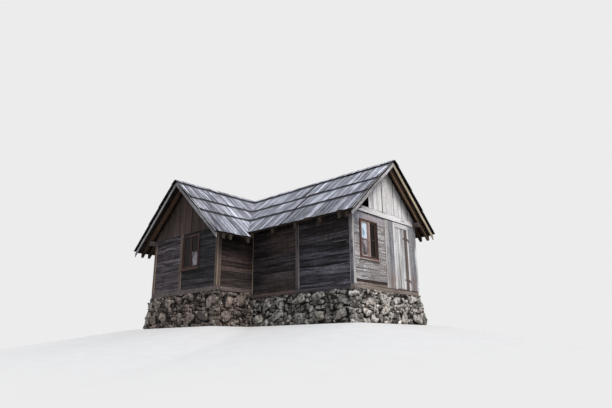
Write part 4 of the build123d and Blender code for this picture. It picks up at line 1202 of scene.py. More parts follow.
    def build(self) -> None:
        """Build the seven runs."""
        h, f = HOUSE, Finishes
        near, far = (h.east, h.south), (h.east, h.north)
        meet = (corners("plinth_back")[0][0], h.north)
        left_back, left_front = (h.west, h.north), (h.west, h.wing_south)
        corner, inside = (h.wing_east, h.wing_south), (h.wing_east, h.south)
        self.run("plinth_front", inside, near, h.base, (False, True), f.stone, 0.15)
        self.run("plinth_gable", near, far, h.base, (True, True), f.warm_stone, 0.35, (0.10, 0.24))
        self.run("plinth_back", far, meet, h.base, (True, False), f.stone, 0.2)
        self.run("plinth_wing_back", meet, left_back, h.wing_base, (False, True), f.stone, 0.2)
        self.run("plinth_left", left_back, left_front, h.wing_base, (True, True), f.stone, 0.25)
        self.run("plinth_wing_front", left_front, corner, h.wing_base, (True, True), f.brown_stone, 0.4)
        self.run("plinth_wing_side", corner, inside, h.wing_base, (True, False), f.brown_stone, 0.35,
                 (0.09, 0.22))


def grid(cells: int) -> Array:
    """Give the quads of a square grid of points with some cells along each side."""
    side = cells + 1
    corner = np.arange(cells)[:, None] * side + np.arange(cells)[None, :]
    return np.stack([corner, corner + side, corner + side + 1, corner + 1], axis=-1).reshape(-1, 4)


@dataclass
class Planks:
    """One bay of stacked hewn planks between two uprights."""

    form: Form
    place: Place
    start: float
    end: float
    low: float
    high: float
    shares: tuple[float, ...] = (120, 200, 280, 230, 195, 255, 230, 265, 275)
    window: Cell | None = None
    inset: float = 0.015
    thick: float = 0.09
    wander: float = 0.012
    jitter: float = 0.14
    grooves: Span = (0.002, 0.008)
    open_seams: tuple[int, ...] = ()
    hew: float = 0.003
    clear: float = 0.002

    def seams(self) -> list[Curve]:
        """Give each seam as a function of the length: its level plus two slow sines."""
        random = self.form.random
        shares = np.array(self.shares) * random.uniform(1 - self.jitter, 1 + self.jitter, len(self.shares))
        sums = np.concatenate([[0.0], np.cumsum(shares)])
        levels = self.low + (self.high - self.low) * sums / shares.sum()
        found = []
        for index, level in enumerate(levels):
            loose = self.wander * (0 < index < len(levels) - 1)
            turns = random.uniform(1.6, 3.4, 2) * (1.0, 3.1)
            phase = random.uniform(0.0, TURN, 2)
            tilt = random.uniform(-1.0, 1.0) * loose * 0.7
            found.append(lambda s, a=level, k=turns, p=phase, w=loose, t=tilt: a + t * (s - self.start)
                         + w * (0.65 * np.sin(k[0] * s + p[0]) + 0.35 * np.sin(k[1] * s + p[1])))
        return found

    def lay(self) -> None:
        """Lay every plank, notched or stopped at the window."""
        random = self.form.random
        seams = self.seams()
        for row, (foot, head) in enumerate(zip(seams, seams[1:])):
            how = {"outline": PLANK, "hew": self.hew, "tone": random.uniform()}
            groove = random.uniform(*self.grooves) + 0.014 * (row in self.open_seams)
            swell = random.uniform(2.0, 5.0)
            how["arris"] = lambda s, g=groove, k=swell: g * (1.0 + 0.35 * np.sin(k * s))
            how["depth"] = (-self.inset - self.thick, -self.inset - random.uniform(0.0, 0.008))
            how["bulge"] = random.uniform(0.0, 0.002)
            gap = 0.001 + 0.005 * (row in self.open_seams)
            if self.window:
                self.cut(foot, head, gap, how)
                continue
            sides = (lambda s, f=foot, g=gap: f(s) + g, lambda s, h=head, g=gap: h(s) - g)
            length = (self.start + self.clear, self.end - self.clear)
            self.form.timber(self.place, length, sides, step=0.10, **how)

    def cut(self, foot: Curve, head: Curve, gap: float,
            how: dict) -> None:
        """Lay one plank stopped at the window, or notched over its foot or its head.

        Args:
            foot, head: The seams under and over the plank.
            gap: Its distance from each.
            how: Its other measures.
        """
        left, right, sill, lintel = self.window
        middle = np.array([(left + right) / 2])
        low, high = float(foot(middle)[0]), float(head(middle)[0])
        stopped = low > sill - 0.03 and high < lintel + 0.03
        below = high > sill > low and not stopped
        over = high > lintel > low and not stopped

        def beside(s: Array) -> Array:
            """Whether a place along the plank lies within the window."""
            return (s > left - 0.001) & (s < right + 0.001)

        def bottom(s: Array) -> Array:
            """The plank's lower side, raised to the head of the window over it."""
            return np.where(beside(s) & over, np.maximum(foot(s), lintel), foot(s)) + gap

        def top(s: Array) -> Array:
            """The plank's upper side, lowered to the foot of the window over it."""
            return np.where(beside(s) & below, np.minimum(head(s), sill), head(s)) - gap

        for first, last in ((self.start, left), (right, self.end)) if stopped else ((self.start, self.end),):
            if last - first < 0.03:
                continue
            stations = [*np.arange(first + self.clear, last - self.clear, 0.10), last - self.clear]
            if below or over:
                stations += [left - self.clear, left, right, right + self.clear]
            stations = np.unique(stations)
            stations = stations[(stations >= first) & (stations <= last)]
            self.form.timber(self.place, (first, last), (bottom, top), stations=stations, **how)


@dataclass
class Walls:
    """Every bay of planks, each wall as one piece."""

    post: float = 0.14
    sill: float = 0.15
    low_plank: float = 1.095
    strip: float = 0.07
    header: float = 0.28
    split: tuple[float, float, float] = (3.26, 3.70, 2.215)

    @staticmethod
    def window(name: str, axis: int) -> Cell:
        """Give a window's place in its wall as left, right, foot and head."""
        low, high = max(solids(name + "_frame"), key=lambda box: box[1][2] - box[0][2])
        return (low[axis], high[axis], low[2], high[2])

    @staticmethod
    def first_post(node: str, x: Span, y: Span = (-math.inf, math.inf)) -> tuple[Array, Array]:
        """Give the box of a node's first post whose low corner lies within limits in plan."""
        return next(box for box in solids(node) if x[0] < box[0][0] < x[1] and y[0] < box[0][1] < y[1])

    def split_plank(self, place: Place) -> None:
        """Lay a split plank's pale lip, and under it a black strip of painted shade for the shadowed split,
        on the long wall's face.
        """
        left, right, level = self.split
        for name, finish, foot, head, face in (
                ("lip", Finishes.mid_post, 0.0, 0.030, -0.002),
                # The black strip is painted shade.
                ("cleft", Finishes.cleft, -0.075, 0.0, -0.0008)):
            form = Form("split_" + name)
            low = lambda s, a=foot: level + a * (s - left + 0.1) / (right - left)
            form.timber(place, (left, right), (low, level + head), (-0.03, face), SLIM, step=0.1,
                        arris=0.003, tone=0.5)
            form.build(finish, "wall_front")

    @staticmethod
    def wall(node: str, place: Place, levels: Span, *bays: tuple, **how: object) -> None:
        """Build one wall from its bays, each given as start, end, finish and its own measures."""
        for first, last, finish, own in bays:
            form = Form(f"{node}_{finish.name}")
            Planks(form, place, first, last, *levels, **{**how, **own}).lay()
            form.build(finish, node)

    def build(self) -> None:
        """Build the seven walls."""
        h, f, post = HOUSE, Finishes, self.post
        main = (h.base + self.sill, corners("posts_main")[1][2])
        wing = (h.wing_base + self.sill, corners("wall_left")[1][2])
        gabled = (wing[0], corners("wall_wing_front")[1][2])
        end = (h.east - 0.2, math.inf)
        middle = self.first_post("posts_main", (-math.inf, h.east - 1.0))[0][0]
        split = self.first_post("posts_wing", (h.west + 0.5, h.wing_east - 0.5))[0][0]
        corner_post = self.first_post("posts_main", end, (-math.inf, h.south + 0.01))[1][1]
        gable_post = self.first_post("posts_main", end, (h.south + 0.5, h.north - 0.5))[0][1]
        left_post = self.first_post("posts_wing", (-math.inf, h.west + 0.1),
                                    (h.wing_south + 0.5, h.north - 0.5))[0][1]
        self.wall("wall_front", h.front_face, main, (h.wing_east, middle, f.front_brown, {}),
                  (middle + post, h.east - post, f.front, {"jitter": 0.04, "open_seams": (3,)}))
        self.split_plank(h.front_face)
        self.wall("wall_back", h.back_face, main, (h.wing_east, middle, f.wing_brown, {}),
                  (middle + post, h.east - post, f.front, {}))
        window = self.window("gable_window", 1)
        strip = (self.low_plank, self.low_plank + self.strip)
        lintel = main[1] - self.header
        for finish, low, high, own in (
                (f.low_plank, main[0], strip[0], {"shares": (1,)}),
                (f.brown_plank, *strip, {"shares": (1,)}),
                (f.gable, strip[1], lintel, {"window": window, "shares": (250, 250, 240, 260, 310)}),
                (f.header, lintel, main[1], {"window": window, "shares": (1,)})):
            self.wall("wall_gable", h.east_face, (low, high), (corner_post, gable_post, finish, own),
                      jitter=0.08, grooves=(0.0005, 0.0015), wander=0.006)
        first, second = (h.west + post, split), (split + post, h.wing_east - post)
        self.wall("wall_wing_back", h.back_face, gabled, (*first, f.wing, {}), (*second, f.wing_blue, {}))
        self.wall("wall_wing_front", h.wing_face, gabled, (*first, f.wing, {}),
                  (*second, f.wing_blue, {"window": self.window("wing_window", 0)}))
        self.wall("wall_left", h.west_face, wing, (h.wing_south + post, left_post, f.wing, {}),
                  (left_post + post, h.north - post, f.wing_brown, {}))
        self.wall("wall_wing_side", h.side_face, wing,
                  (h.wing_south + post, h.south, f.wing_brown, {"open_seams": (4,)}))


@dataclass
class Timbers:
    """Posts, sills, plates and floor, re-cut inside their own boxes."""

    hew: float = 0.004
    sill_hew: float = 0.007
    board: float = 0.21
    gap: float = 0.004

    @staticmethod
    def outward(low: Array, high: Array) -> Array:
        """Find the side of a timber that faces out of the nearest wall."""
        h = HOUSE
        sides = [(high[0] - h.east, EAST), (low[1] - h.south, -NORTH), (high[1] - h.north, NORTH),
                 (low[0] - h.west, -EAST), (low[1] - h.wing_south, -NORTH)]
        if (low[1] + high[1]) / 2 < h.south:
            sides.append((high[0] - h.wing_east, EAST))
        return min(sides, key=lambda side: abs(side[0]))[1]

    def recut(self, node: str, choose: Callable[[Array, Array], TimberFinish], **how: object) -> None:
        """Build a hewn copy of each solid of a node.

        Args:
            node: The node.
            choose: Gives the finish of a timber from the corners of its box.
            how: Other measures of Form.timber.
        """
        forms: dict[TimberFinish, Form] = {}
        for low, high in solids(node):
            finish = choose(low, high)
            form = forms.setdefault(finish, Form(f"{node}_{finish.name}"))
            boxed(form, low, high, self.outward(low, high), **{"hew": self.hew, "arris": 0.012, **how})
        for finish, form in forms.items():
            form.build(finish, node)

    def build(self) -> None:
        """Build the posts, sills, plates and the floor."""
        h, f = HOUSE, Finishes
        self.recut("posts_main", lambda low, high: f.post if high[0] > h.east - 0.01 else f.mid_post)
        self.recut("posts_wing", lambda low, high: f.grey_post)
        self.recut("sills_main", lambda low, high: f.pale_sill if low[0] > h.east - 0.2 else f.dark_sill,
                   hew=self.sill_hew)
        self.recut("sills_wing", lambda low, high: f.sill, hew=self.sill_hew)
        self.recut("wall_plates", lambda low, high: f.sill)
        self.lay_floor()

    def lay_floor(self) -> None:
        """Cover each room's floor with boards along the room."""
        form = Form("floor_boards")
        for low, high in solids("floor"):
            long = 0 if high[0] - low[0] > high[1] - low[1] else 1
            place = Place(np.zeros(3), *((EAST, NORTH) if long == 0 else (NORTH, EAST)), UP)
            count = int(round((high[1 - long] - low[1 - long]) / self.board))
            edges = np.linspace(low[1 - long], high[1 - long], count + 1)
            for left, right in zip(edges, edges[1:]):
                form.timber(place, (low[long], high[long]), (left + self.gap / 2, right - self.gap / 2),
                            (low[2], high[2]), SLIM, step=0.5, arris=0.003, hew=0.002)
        form.build(Finishes.floor, "floor")


@dataclass(frozen=True)
class Course:
    """One course of a slope: its number from the eave, its limits in plan and its boards' axes."""

    level: int
    foot: float
    head: float
    long: float
    flat: float
    place: Place


@dataclass
class RoofSide:
    """One slope of board courses. w runs along its eave and v up the slope in plan."""

    node: str
    along: Array
    inward: Array
    eave: float
    ridge: float
    foot: float
    spans: tuple[Span, ...]
    valley: Curve
    thick: float = 0.028
    lap: float = 0.110
    seam: float = 0.0003
    ridge_gap: float = 0.014
    butts: tuple[float, ...] = (0.702, 0.431, 0.122)
    widths: Span = (0.16, 0.32)
    narrowest: float = 0.12
    lath: float = 0.042
    notch: Span = (0.03, 0.095)
    notch_run: Span = (0.25, 0.60)
    wave: float = 0.007
    rift_width: float = 0.080
    rift_reach: float = 0.09
    rifts: tuple[float, ...] = ()

    def lines(self) -> list[tuple[float, float, float]]:
        """Give each course as its foot, its head and the lift of its foot, from the eave up."""
        run = abs(self.ridge - self.eave)
        main_run = abs(HOUSE.main_ridge - corners("roof_main_front")[0][1])
        thick = UPRIGHT * self.thick
        butts = [run - share * main_run for share in self.butts]
        feet = [0.0, *butts]
        heads = [butt + self.lap for butt in butts] + [run - self.ridge_gap / 2]
        found, lift = [], 0.0
        for index, (foot, head) in enumerate(zip(feet, heads)):
            if index:
                over_foot = thick + lift * self.lap / (heads[index - 1] - feet[index - 1])
                over_head = thick * (head - foot) / (head - foot - self.lap)
                lift = max(over_foot, over_head) + self.seam
            found.append((foot, head, lift))
        return found

    def lay(self, form: Form, shade: Form, laths: Form) -> None:
        """Lay all boards of the slope, with a lath along each verge and a black strip of painted shade in
        every wide gap.

        A board lies on the straight line from its course's lifted foot to its head.

        Args:
            form: The mesh that takes the boards.
            shade: The mesh that takes the black strips of painted shade under wide gaps.
            laths: The mesh that takes the verges' laths.
        """
        side = float(np.sign(self.inward.sum()))
        for level, (foot, head, lift) in enumerate(self.lines()):
            low = np.array((foot, self.foot + SLOPE * foot + lift))
            high = np.array((head, self.foot + SLOPE * head))
            long = float(np.linalg.norm(high - low))
            flat, rise = (high - low) / long
            origin = self.inward * (self.eave * side + low[0]) + UP * low[1]
            place = Place(origin, self.inward * flat + UP * rise, self.along, UP * flat - self.inward * rise)
            course = Course(level, foot, head, long, flat, place)
            for first, last in self.spans:
                w = first
                while w < last - 0.02:
                    w += self.board(course, w, last, form, shade, laths)

    def board(self, course: Course, w: float, last: float, form: Form, shade: Form, laths: Form) -> float:
        """Lay one board, with a lath beside it on a verge and a black strip of painted shade where it leaves
        a gap.

        Its lower end is the later of the course's foot, a little ragged, and the valley's line at
        each place across it, so boards that meet the valley end on its slant.

        Args:
            course: The board's course.
            w: Where it starts along the eave.
            last: Where its span ends.
            form, shade, laths: The meshes of the slope.

        Returns:
            The board's width.
        """
        random, level, long = form.random, course.level, course.long
        wide = random.uniform(*self.widths)
        if last - w - wide < self.narrowest:
            wide = last - w
        gap = random.uniform(0.0006, 0.0022)
        reach = w + self.rift_reach
        rift = level < len(self.rifts) and reach < self.rifts[level] < w + wide + self.rift_reach
        if rift:
            wide = self.rifts[level] - w
        ragged = (self.thick * SLOPE + abs(random.normal(0.0, 0.024))
                  + 0.020 * (1.0 + math.sin(1.7 * w + 2.0 * level)) * (level > 0))
        skew = random.normal(0.0, 0.02)
        top = long - random.uniform(0.0, 0.01)
        middle = w + wide / 2

        def start(a: Array) -> Array:
            """The lower end: ragged foot or valley, whichever is higher."""
            valley = (self.valley(a) - course.foot) / course.flat
            square = ragged + skew * (a - middle) + abs(skew) * 0.16
            return np.minimum(np.maximum(square, valley), long - 0.01)

        def end(a: Array) -> Array:
            """The upper end, square across."""
            return np.full_like(a, top)

        if float(start(np.linspace(w, w + wide, 5)).min()) >= long - 0.05:
            return wide
        thick = self.thick * random.uniform(0.80, 0.96)
        twist = random.uniform(0.0, 0.002)
        # next_butt is where the next course's butt lies over this board, and the end's colour paints shadow
        # there.
        next_butt = (course.head - course.foot - self.lap) / course.flat + random.normal(0.0, 0.006)
        common = {"length": (0.0, long), "ends": (start, end)}
        board = {**common, "outline": SAWN, "covered": next_butt if level < len(self.butts) else None}
        # These strips paint shade: black, under the gaps at a verge and at a rift.
        dark = {**common, "outline": SLIM, "arris": 0.001}
        left, right = w + gap / 2, w + wide - (self.rift_width if rift else gap / 2)
        verge = float(w + wide > self.spans[-1][1] - 0.01)
        if w == self.spans[0][0] and self.along[1] > 0.5:
            verge = -1.0
        if verge:
            deep = min(random.uniform(*self.notch), wide - self.lath - 0.08)
            far = random.uniform(*self.notch_run)
            turn, phase = random.uniform(14.0, 22.0), random.uniform(0.0, TURN)
            edge = w + wide if verge > 0 else w
            inner = edge - verge * (self.lath + 0.004)

            def broken(s: Array) -> Array:
                """The verge: weathered back at the foot, with a wavy edge."""
                return inner - verge * (deep * np.clip(1.0 - s / far, 0.0, 1.0)
                                        + self.wave * (1.0 + np.sin(turn * s + phase)))

            left, right = (left, broken) if verge > 0 else (broken, right)
            # Under the verge's broken edge lies a black strip of painted shade.
            shade_bed = sorted((edge - verge * 0.01, edge - verge * 0.16))
            sides = sorted((edge, edge - verge * self.lath))
            shade.timber(course.place, across=shade_bed, depth=(0.0, 0.004), **dark)
            laths.timber(course.place, across=sides, depth=(0.0045, thick * 0.8), step=0.1, arris=0.003,
                         hew=0.003, **board)
        arris, cup = random.uniform(0.004, 0.009), random.uniform(-0.001, 0.0015)
        form.timber(course.place, across=(left, right), depth=(twist, thick), step=0.16, arris=arris,
                    hew=0.0025, cup=cup, **board)
        # A black strip of painted shade fills the rift.
        if rift:
            shade.timber(course.place, across=(right - 0.005, w + wide + 0.005), depth=(0.0, 0.005), **dark)
        return wide


@dataclass
class Roof:
    """The four slopes of boards and the rake boards at their verges."""

    rake_depth: Span = (0.042, 0.150)
    rake_thick: float = 0.028
    rake_setback: float = 0.045
    open_joint: float = 0.012
    rifts: tuple[float, ...] = (1.70, 1.73, 1.50)

    def sides(self) -> list[RoofSide]:
        """Read the four slopes from the frame."""
        h = HOUSE
        front, back, left, right = (corners("roof_" + name) for name in (
            "main_front", "main_back", "wing_left", "wing_right"))
        eave = front[0][1]
        main_run = h.main_ridge - eave
        wing_run = right[1][0] - h.wing_ridge

        def main_valley(w: Array) -> Array:
            """Distance up the slope at which the long roof meets the wing's."""
            return main_run - (w - h.wing_ridge) + self.open_joint

        def wing_valley(w: Array) -> Array:
            """Distance up the slope at which the wing's roof meets the long one."""
            met = wing_run - np.abs(w - h.main_ridge) + self.open_joint
            return np.where(w > eave + 0.001, met, 0.0)

        def none(w: Array) -> Array:
            """No valley."""
            return np.full_like(w, -1.0)

        main_span = ((h.wing_ridge + 0.01, front[1][0]),)
        left_span = ((left[0][1], left[1][1]),)
        right_spans = ((right[0][1], eave - 0.001), (eave + 0.002, h.main_ridge),
                       (h.main_ridge, right[1][1]))
        return [
            RoofSide("roof_main_front", EAST, NORTH, eave, h.main_ridge, front[0][2], main_span,
                     main_valley, rifts=self.rifts),
            RoofSide("roof_main_back", EAST, -NORTH, back[1][1], h.main_ridge, back[0][2], main_span,
                     main_valley),
            RoofSide("roof_wing_left", NORTH, EAST, left[0][0], h.wing_ridge, left[0][2], left_span, none),
            RoofSide("roof_wing_right", NORTH, -EAST, right[1][0], h.wing_ridge, right[0][2], right_spans,
                     wing_valley)]

    def build(self) -> None:
        """Build the boards of each slope, with its laths and black strips of painted shade, and the rake
        boards.
        """
        sides = self.sides()
        for side in sides:
            forms = [Form(f"{side.node}_{name}") for name in ("boards", "shade", "laths")]
            side.lay(*forms)
            lath = Finishes.brown_board if side.node == "roof_main_back" else Finishes.rake
            # The shade mesh takes the near-black finish: painted shade.
            for form, finish in zip(forms, (Finishes.roof, Finishes.cleft, lath)):
                form.build(finish, side.node)
        self.rakes(sides)

    def rakes(self, sides: list[RoofSide]) -> None:
        """Build a board on edge under each verge, with plumb ends.

        Its length runs up the slope, its width hangs square to it and its face looks out of the
        gable, so a plumb cut moves along the length by the width times the pitch's tangent.

        Args:
            sides: The slopes.
        """
        forms = {finish: Form("boards_" + finish.name) for finish in (Finishes.rake, Finishes.rake_warm)}
        low, high = corners("rake_boards")
        for side in sides:
            form = forms[Finishes.rake_warm if side.node == "roof_main_back" else Finishes.rake]
            run = abs(side.ridge - side.eave)
            foot = side.inward * side.eave * float(np.sign(side.inward.sum())) + UP * side.foot
            way = side.inward * math.cos(PITCH) + UP * math.sin(PITCH)
            hang = -(UP * math.cos(PITCH) - side.inward * math.sin(PITCH))
            verges = ((high[0], 1.0),) if side.along[0] > 0.5 else ((low[1], -1.0), (high[1], 1.0))
            for verge, outward in verges:
                place = Place(foot + side.along * verge, way, hang, side.along * outward)
                start, top = self.rake_setback * UPRIGHT, (run - 0.002) * UPRIGHT
                if side.node == "roof_wing_right" and outward > 0:
                    start = (run - abs(verge - HOUSE.main_ridge) + 0.02) * UPRIGHT
                ends = tuple(lambda a, at=at: at - a * SLOPE for at in (start, top))
                form.timber(place, (start, top), self.rake_depth, (-self.rake_thick, -0.001), SAWN,
                            step=0.14, arris=0.004, hew=0.003, tone=form.random.uniform(0.4, 1.0), ends=ends)
        for finish, form in forms.items():
            form.build(finish, "rake_boards")


@dataclass
class Gable:
    """Upright boards that fill one gable under the roof."""

    node: str
    place: Place
    start: float
    end: float
    foot: float
    boards: int
    finish: TimberFinish
    gap: Span | None = None
    joints: tuple[float, ...] = ()
    thick: float = 0.025
    joint: float = 0.009

    def roof_line(self, a: Array) -> Array:
        """Height of the boards' tops: the roof's line folded at the middle of the gable."""
        crest = corners(self.node)[1][2]
        return crest - SLOPE * np.abs(a - (self.start + self.end) / 2) - 0.003

    def build(self) -> None:
        """Build the boards, and the long gable's band under them."""
        form = Form(self.node + "_boards")
        random = form.random
        step = (self.end - self.start) / self.boards
        edges = self.start + step * np.arange(self.boards + 1)
        edges[1:-1] += random.uniform(-0.035, 0.035, self.boards - 1)
        if self.joints:
            edges = self.start + np.array((0.0, *self.joints, self.end - self.start))
        for left, right in zip(edges, edges[1:]):
            if self.gap and left < self.gap[1] and right > self.gap[0]:
                if right - self.gap[1] > step / 3:
                    left = self.gap[1]
                elif self.gap[0] - left > step / 3:
                    right = self.gap[0]
                else:
                    continue
            joint = self.joint * random.uniform(0.5, 2.2)
            drift = random.uniform(2.0, 4.0, 2)
            sides = tuple(lambda z, x=x, k=k: x + 0.002 * np.sin(k * z)
                          for x, k in zip((left + joint / 2, right - joint / 2), drift))
            foot = self.foot + random.uniform(0.001, 0.012)
            sunk = random.uniform(0.0, 0.006)
            highest = float(self.roof_line(np.array([left, right])).max())
            if highest - foot < 0.05:
                continue
            ends = (lambda a, f=foot: np.full_like(a, f),
                    lambda a, f=foot: np.maximum(self.roof_line(a), f + 0.004))
            form.timber(self.place, (foot, highest), sides, (-self.thick, -sunk), SAWN, arris=0.003,
                        hew=0.002, ends=ends)
        for low, high in solids(self.node) if self.gap else ():
            if high[1] - low[1] > 2.0:
                boxed(form, low, high, EAST, outline=SAWN, arris=0.005, hew=0.003, tone=0.75)
        form.build(self.finish, self.node)


@dataclass
class Casement:
    """A two-light window: frame, sill, two sashes with a bar each, and their panes."""

    name: str
    place: Place
    frame_face: float = 0.055
    frame_depth: float = 0.11
    proud: float = 0.012
    sash_face: float = 0.045
    sash_depth: float = 0.038
    sash_setback: float = 0.022
    bar_face: float = 0.028
    glass: float = 0.004
    rebate: float = 0.004
    sill_proud: float = 0.028
    stile: float = 0.070
    hung: float = 0.045
    cover: Span | None = None
    frame_finish: TimberFinish = Finishes.red
    sill_finish: TimberFinish = Finishes.faded
    sash_finishes: tuple[TimberFinish, TimberFinish] = (Finishes.faded, Finishes.dark_red)

    def bars(self, name: str, node: str, finish: TimberFinish, members: list[tuple[Span, Span, Span]],
             arris: float = 0.003) -> None:
        """Build straight members as one piece.

        Args:
            name: The piece's name after the window's.
            node: The CAD node's name after the window's.
            finish: Its finish.
            members: Each member's limits along the wall, upwards and outwards.
            arris: The radius of their arrises.
        """
        form = Form(f"{self.name}_{name}")
        for s, z, out in members:
            if z[1] - z[0] > s[1] - s[0]:
                form.timber(self.place.upright(), z, s, out, step=0.2, arris=arris, hew=0.0015)
            else:
                form.timber(self.place, s, z, out, step=0.2, arris=arris, hew=0.0015)
        form.build(finish, f"{self.name}_{node}")

    def build(self, along: int, panes: tuple[PaneFinish, ...]) -> None:
        """Build the window inside its CAD boxes.

        Args:
            along: The axis that runs along the wall.
            panes: The finishes of the left light's lower and upper pane, then of the right light's.
        """
        sill, box = sorted(solids(self.name + "_frame"), key=lambda box: box[0][2])[:2]
        (left, right), (foot, head) = ((box[0][axis], box[1][axis]) for axis in (along, 2))
        face, out = self.frame_face, (self.proud - self.frame_depth, self.proud)
        inner = (left + face, right - face)
        self.bars("frame_joinery", "frame", self.frame_finish, [
            ((left, inner[0]), (foot, head), out), ((inner[1], right), (foot, head), out),
            (inner, (foot, foot + face), out), (inner, (head - face, head), out)])
        self.bars("sill", "frame", self.sill_finish, [
            ((sill[0][along], sill[1][along]), (sill[0][2], sill[1][2]),
             (self.proud, self.proud + self.sill_proud))], arris=0.006)

        front = self.proud - self.sash_setback
        deep, glazing = (front - self.sash_depth, front), front - self.sash_depth / 2
        tall, middle = (foot + face + 0.002, head - face - 0.002), (left + right) / 2
        centre = (tall[0] + tall[1]) / 2
        bar = (centre - self.bar_face / 2, centre + self.bar_face / 2)
        rails = ((tall[0], tall[0] + self.sash_face), (tall[1] - self.sash_face, tall[1]))
        spans = ((inner[0] + 0.002, middle - 0.001), (middle + 0.001, inner[1] - 0.002))
        lights = []
        for number, ((first, last), finish) in enumerate(zip(spans, self.sash_finishes)):
            wide = (first + (self.stile if number else self.hung), last - self.stile)
            members = [((first, wide[0]), tall, deep), ((wide[1], last), tall, deep),
                       (wide, rails[0], deep), (wide, rails[1], deep)]
            if self.cover and number == 0:
                strip = (middle + self.cover[0], middle + self.cover[1])
                members.append((strip, tall, (front + 0.0005, front + 0.012)))
            self.bars(f"sash_{number + 1}", "sashes", finish, [*members, (wide, bar, deep)])
            for opening in ((rails[0][1], bar[0]), (bar[1], rails[1][0])):
                lights.append([(low - self.rebate, high + self.rebate) for low, high in (wide, opening)])
        for number, (light, finish) in enumerate(zip(lights, panes)):
            form = Form(f"{self.name}_pane_{number + 1}")
            form.timber(self.place, *light, (glazing - self.glass / 2, glazing + self.glass / 2), SLIM,
                        step=0.5, arris=0.0005)
            form.build(finish, self.name + "_glass")


def windows() -> None:
    """Build both windows, the gable's with a bright pane of painted sky reflection and a mixed one, the
    wing's with a mixed one; mixed panes paint that reflection in patches over painted shade.
    """
    f, painted = Finishes, Finishes.dark_red
    Casement("gable_window", HOUSE.east_face, cover=(-0.045, 0.055)).build(
        1, (f.mixed_pane, f.sky_pane, f.dark_pane, f.dark_pane))
    Casement("wing_window", HOUSE.wing_face, stile=0.05, sill_finish=f.red, sash_finishes=(painted, painted)
             ).build(0, (f.dark_pane, f.dark_pane, f.mixed_pane, f.dark_pane))


def gables() -> None:
    """Build the three boarded gables."""
    h, f = HOUSE, Finishes
    foot = corners("wall_plates")[1][2]
    wing_foot = corners("gable_wing_front")[0][2]
    gap = (h.south + 0.38, h.south + 0.80)
    joints = (0.38, 0.80, 1.038, 1.516, 2.155, 2.60, 2.96)
    Gable("gable_main", h.east_face.upright(), h.south, h.north, foot, 9, f.boards, gap, joints).build()
    for node, face in (("gable_wing_front", h.wing_face), ("gable_wing_back", h.back_face)):
        Gable(node, face.upright(), h.west, h.wing_east, wing_foot, 10, f.wing_board).build()


@dataclass
class DoorBay:
    """The doorway's posts and side boards, and the ledged door with its iron."""

    clear: tuple[float, float, float] = (0, 0.0015, 0)

    def build(self) -> None:
        """Build the fixed pieces and the leaf."""
        f, still, moved = Finishes, Body.CABIN, Body.DOOR
        sawn = {"outline": SAWN, "arris": 0.004, "hew": 0.003}
        form = Form("door_frame_hewn")
        for low, high in solids("door_frame"):
            boxed(form, low, high, EAST, arris=0.008, hew=0.003, tone=0.4 + 0.5 * (low[1] > 0.0))
        form.build(f.jamb, "door_frame")
        leaf = sorted(((low + self.clear, high - self.clear) for low, high in solids("door_leaf")),
                      key=lambda box: box[0][1])
        sides, ledges = solids("door_side_boards"), solids("door_ledges")
        self.boards("door_side_boards_sawn", sides, EAST, f.blue_board, "door_side_boards", still, **sawn)
        self.boards("door_leaf_pale", leaf[:-1], EAST, f.leaf, "door_leaf", moved, **sawn)
        self.boards("door_leaf_brown", leaf[-1:], EAST, f.brown_board, "door_leaf", moved, **sawn)
        self.boards("door_ledge_bars", ledges, -EAST, f.leaf, "door_ledges", moved, arris=0.006, hew=0.002)
        for node in ("door_hinges", "door_pintles"):
            dress(node, f.iron)

    @staticmethod
    def boards(name: str, boxes: list[tuple[Array, Array]], out: Array, finish: Finish, node: str,
               body: Body, **how: object) -> None:
        """Build squared boards as one piece.

        Args:
            name: The piece's name.
            boxes: The boards' boxes.
            out: The side that is their face.
            finish, node, body: What Form.build takes.
            how: Other measures of Form.timber.
        """
        form = Form(name)
        for low, high in boxes:
            boxed(form, low, high, out, **how)
        form.build(finish, node, body)


def dress(node: str, finish: Finish) -> None:
    """Give a CAD node, which stays as it is, a finish."""
    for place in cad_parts[node].material_slots:
        place.material = finish.material()
    LOG.info("%s: CAD piece in %s", node, finish.name)


@dataclass
class RoofFrame:
    """Rafters, battens, beams and joists, kept as the frame has them."""

    pale: Colour = (116, 92, 74)
    dark: Colour = (52, 38, 30)
    dim: Colour = (58, 45, 37)
    black: Colour = (24, 18, 15)
    covered: float = 0.42
    verge: float = 0.185

    def build(self) -> None:
        """Dress every timber of the roof's frame with grain along its run."""
        h = HOUSE
        eave = corners("roof_main_front")[0][1]
        wing_eave = corners("roof_wing_left")[0][0]
        brown = ("brown_timber", self.pale, self.dark)
        # The battens take dimmer colours than the rafters: painted shade under the roof boards.
        in_shade = ("brown_timber", self.dim, self.black)
        # The rafters darken toward the eave: weathering with painted shade under the overhang.
        main = BareTimberFinish("rafters_long", *brown, 1, True, h.main_ridge,
                                h.main_ridge - eave - self.covered, bleached_from=h.east + self.verge)
        wing = BareTimberFinish("rafters_cross", *brown, 0, True, h.wing_ridge,
                                h.wing_ridge - wing_eave - self.covered)
        for node, finish in (("rafters_main", main), ("rafters_wing", wing), ("valley_rafters", main),
                             ("battens_main", BareTimberFinish("battens_long", *in_shade, 0)),
                             ("battens_wing", BareTimberFinish("battens_cross", *in_shade, 1)),
                             ("ridge_beams", BareTimberFinish("ridge_brown", *brown, 0)),
                             ("floor_joists", BareTimberFinish("joists_brown", *brown, 1))):
            dress(node, finish)


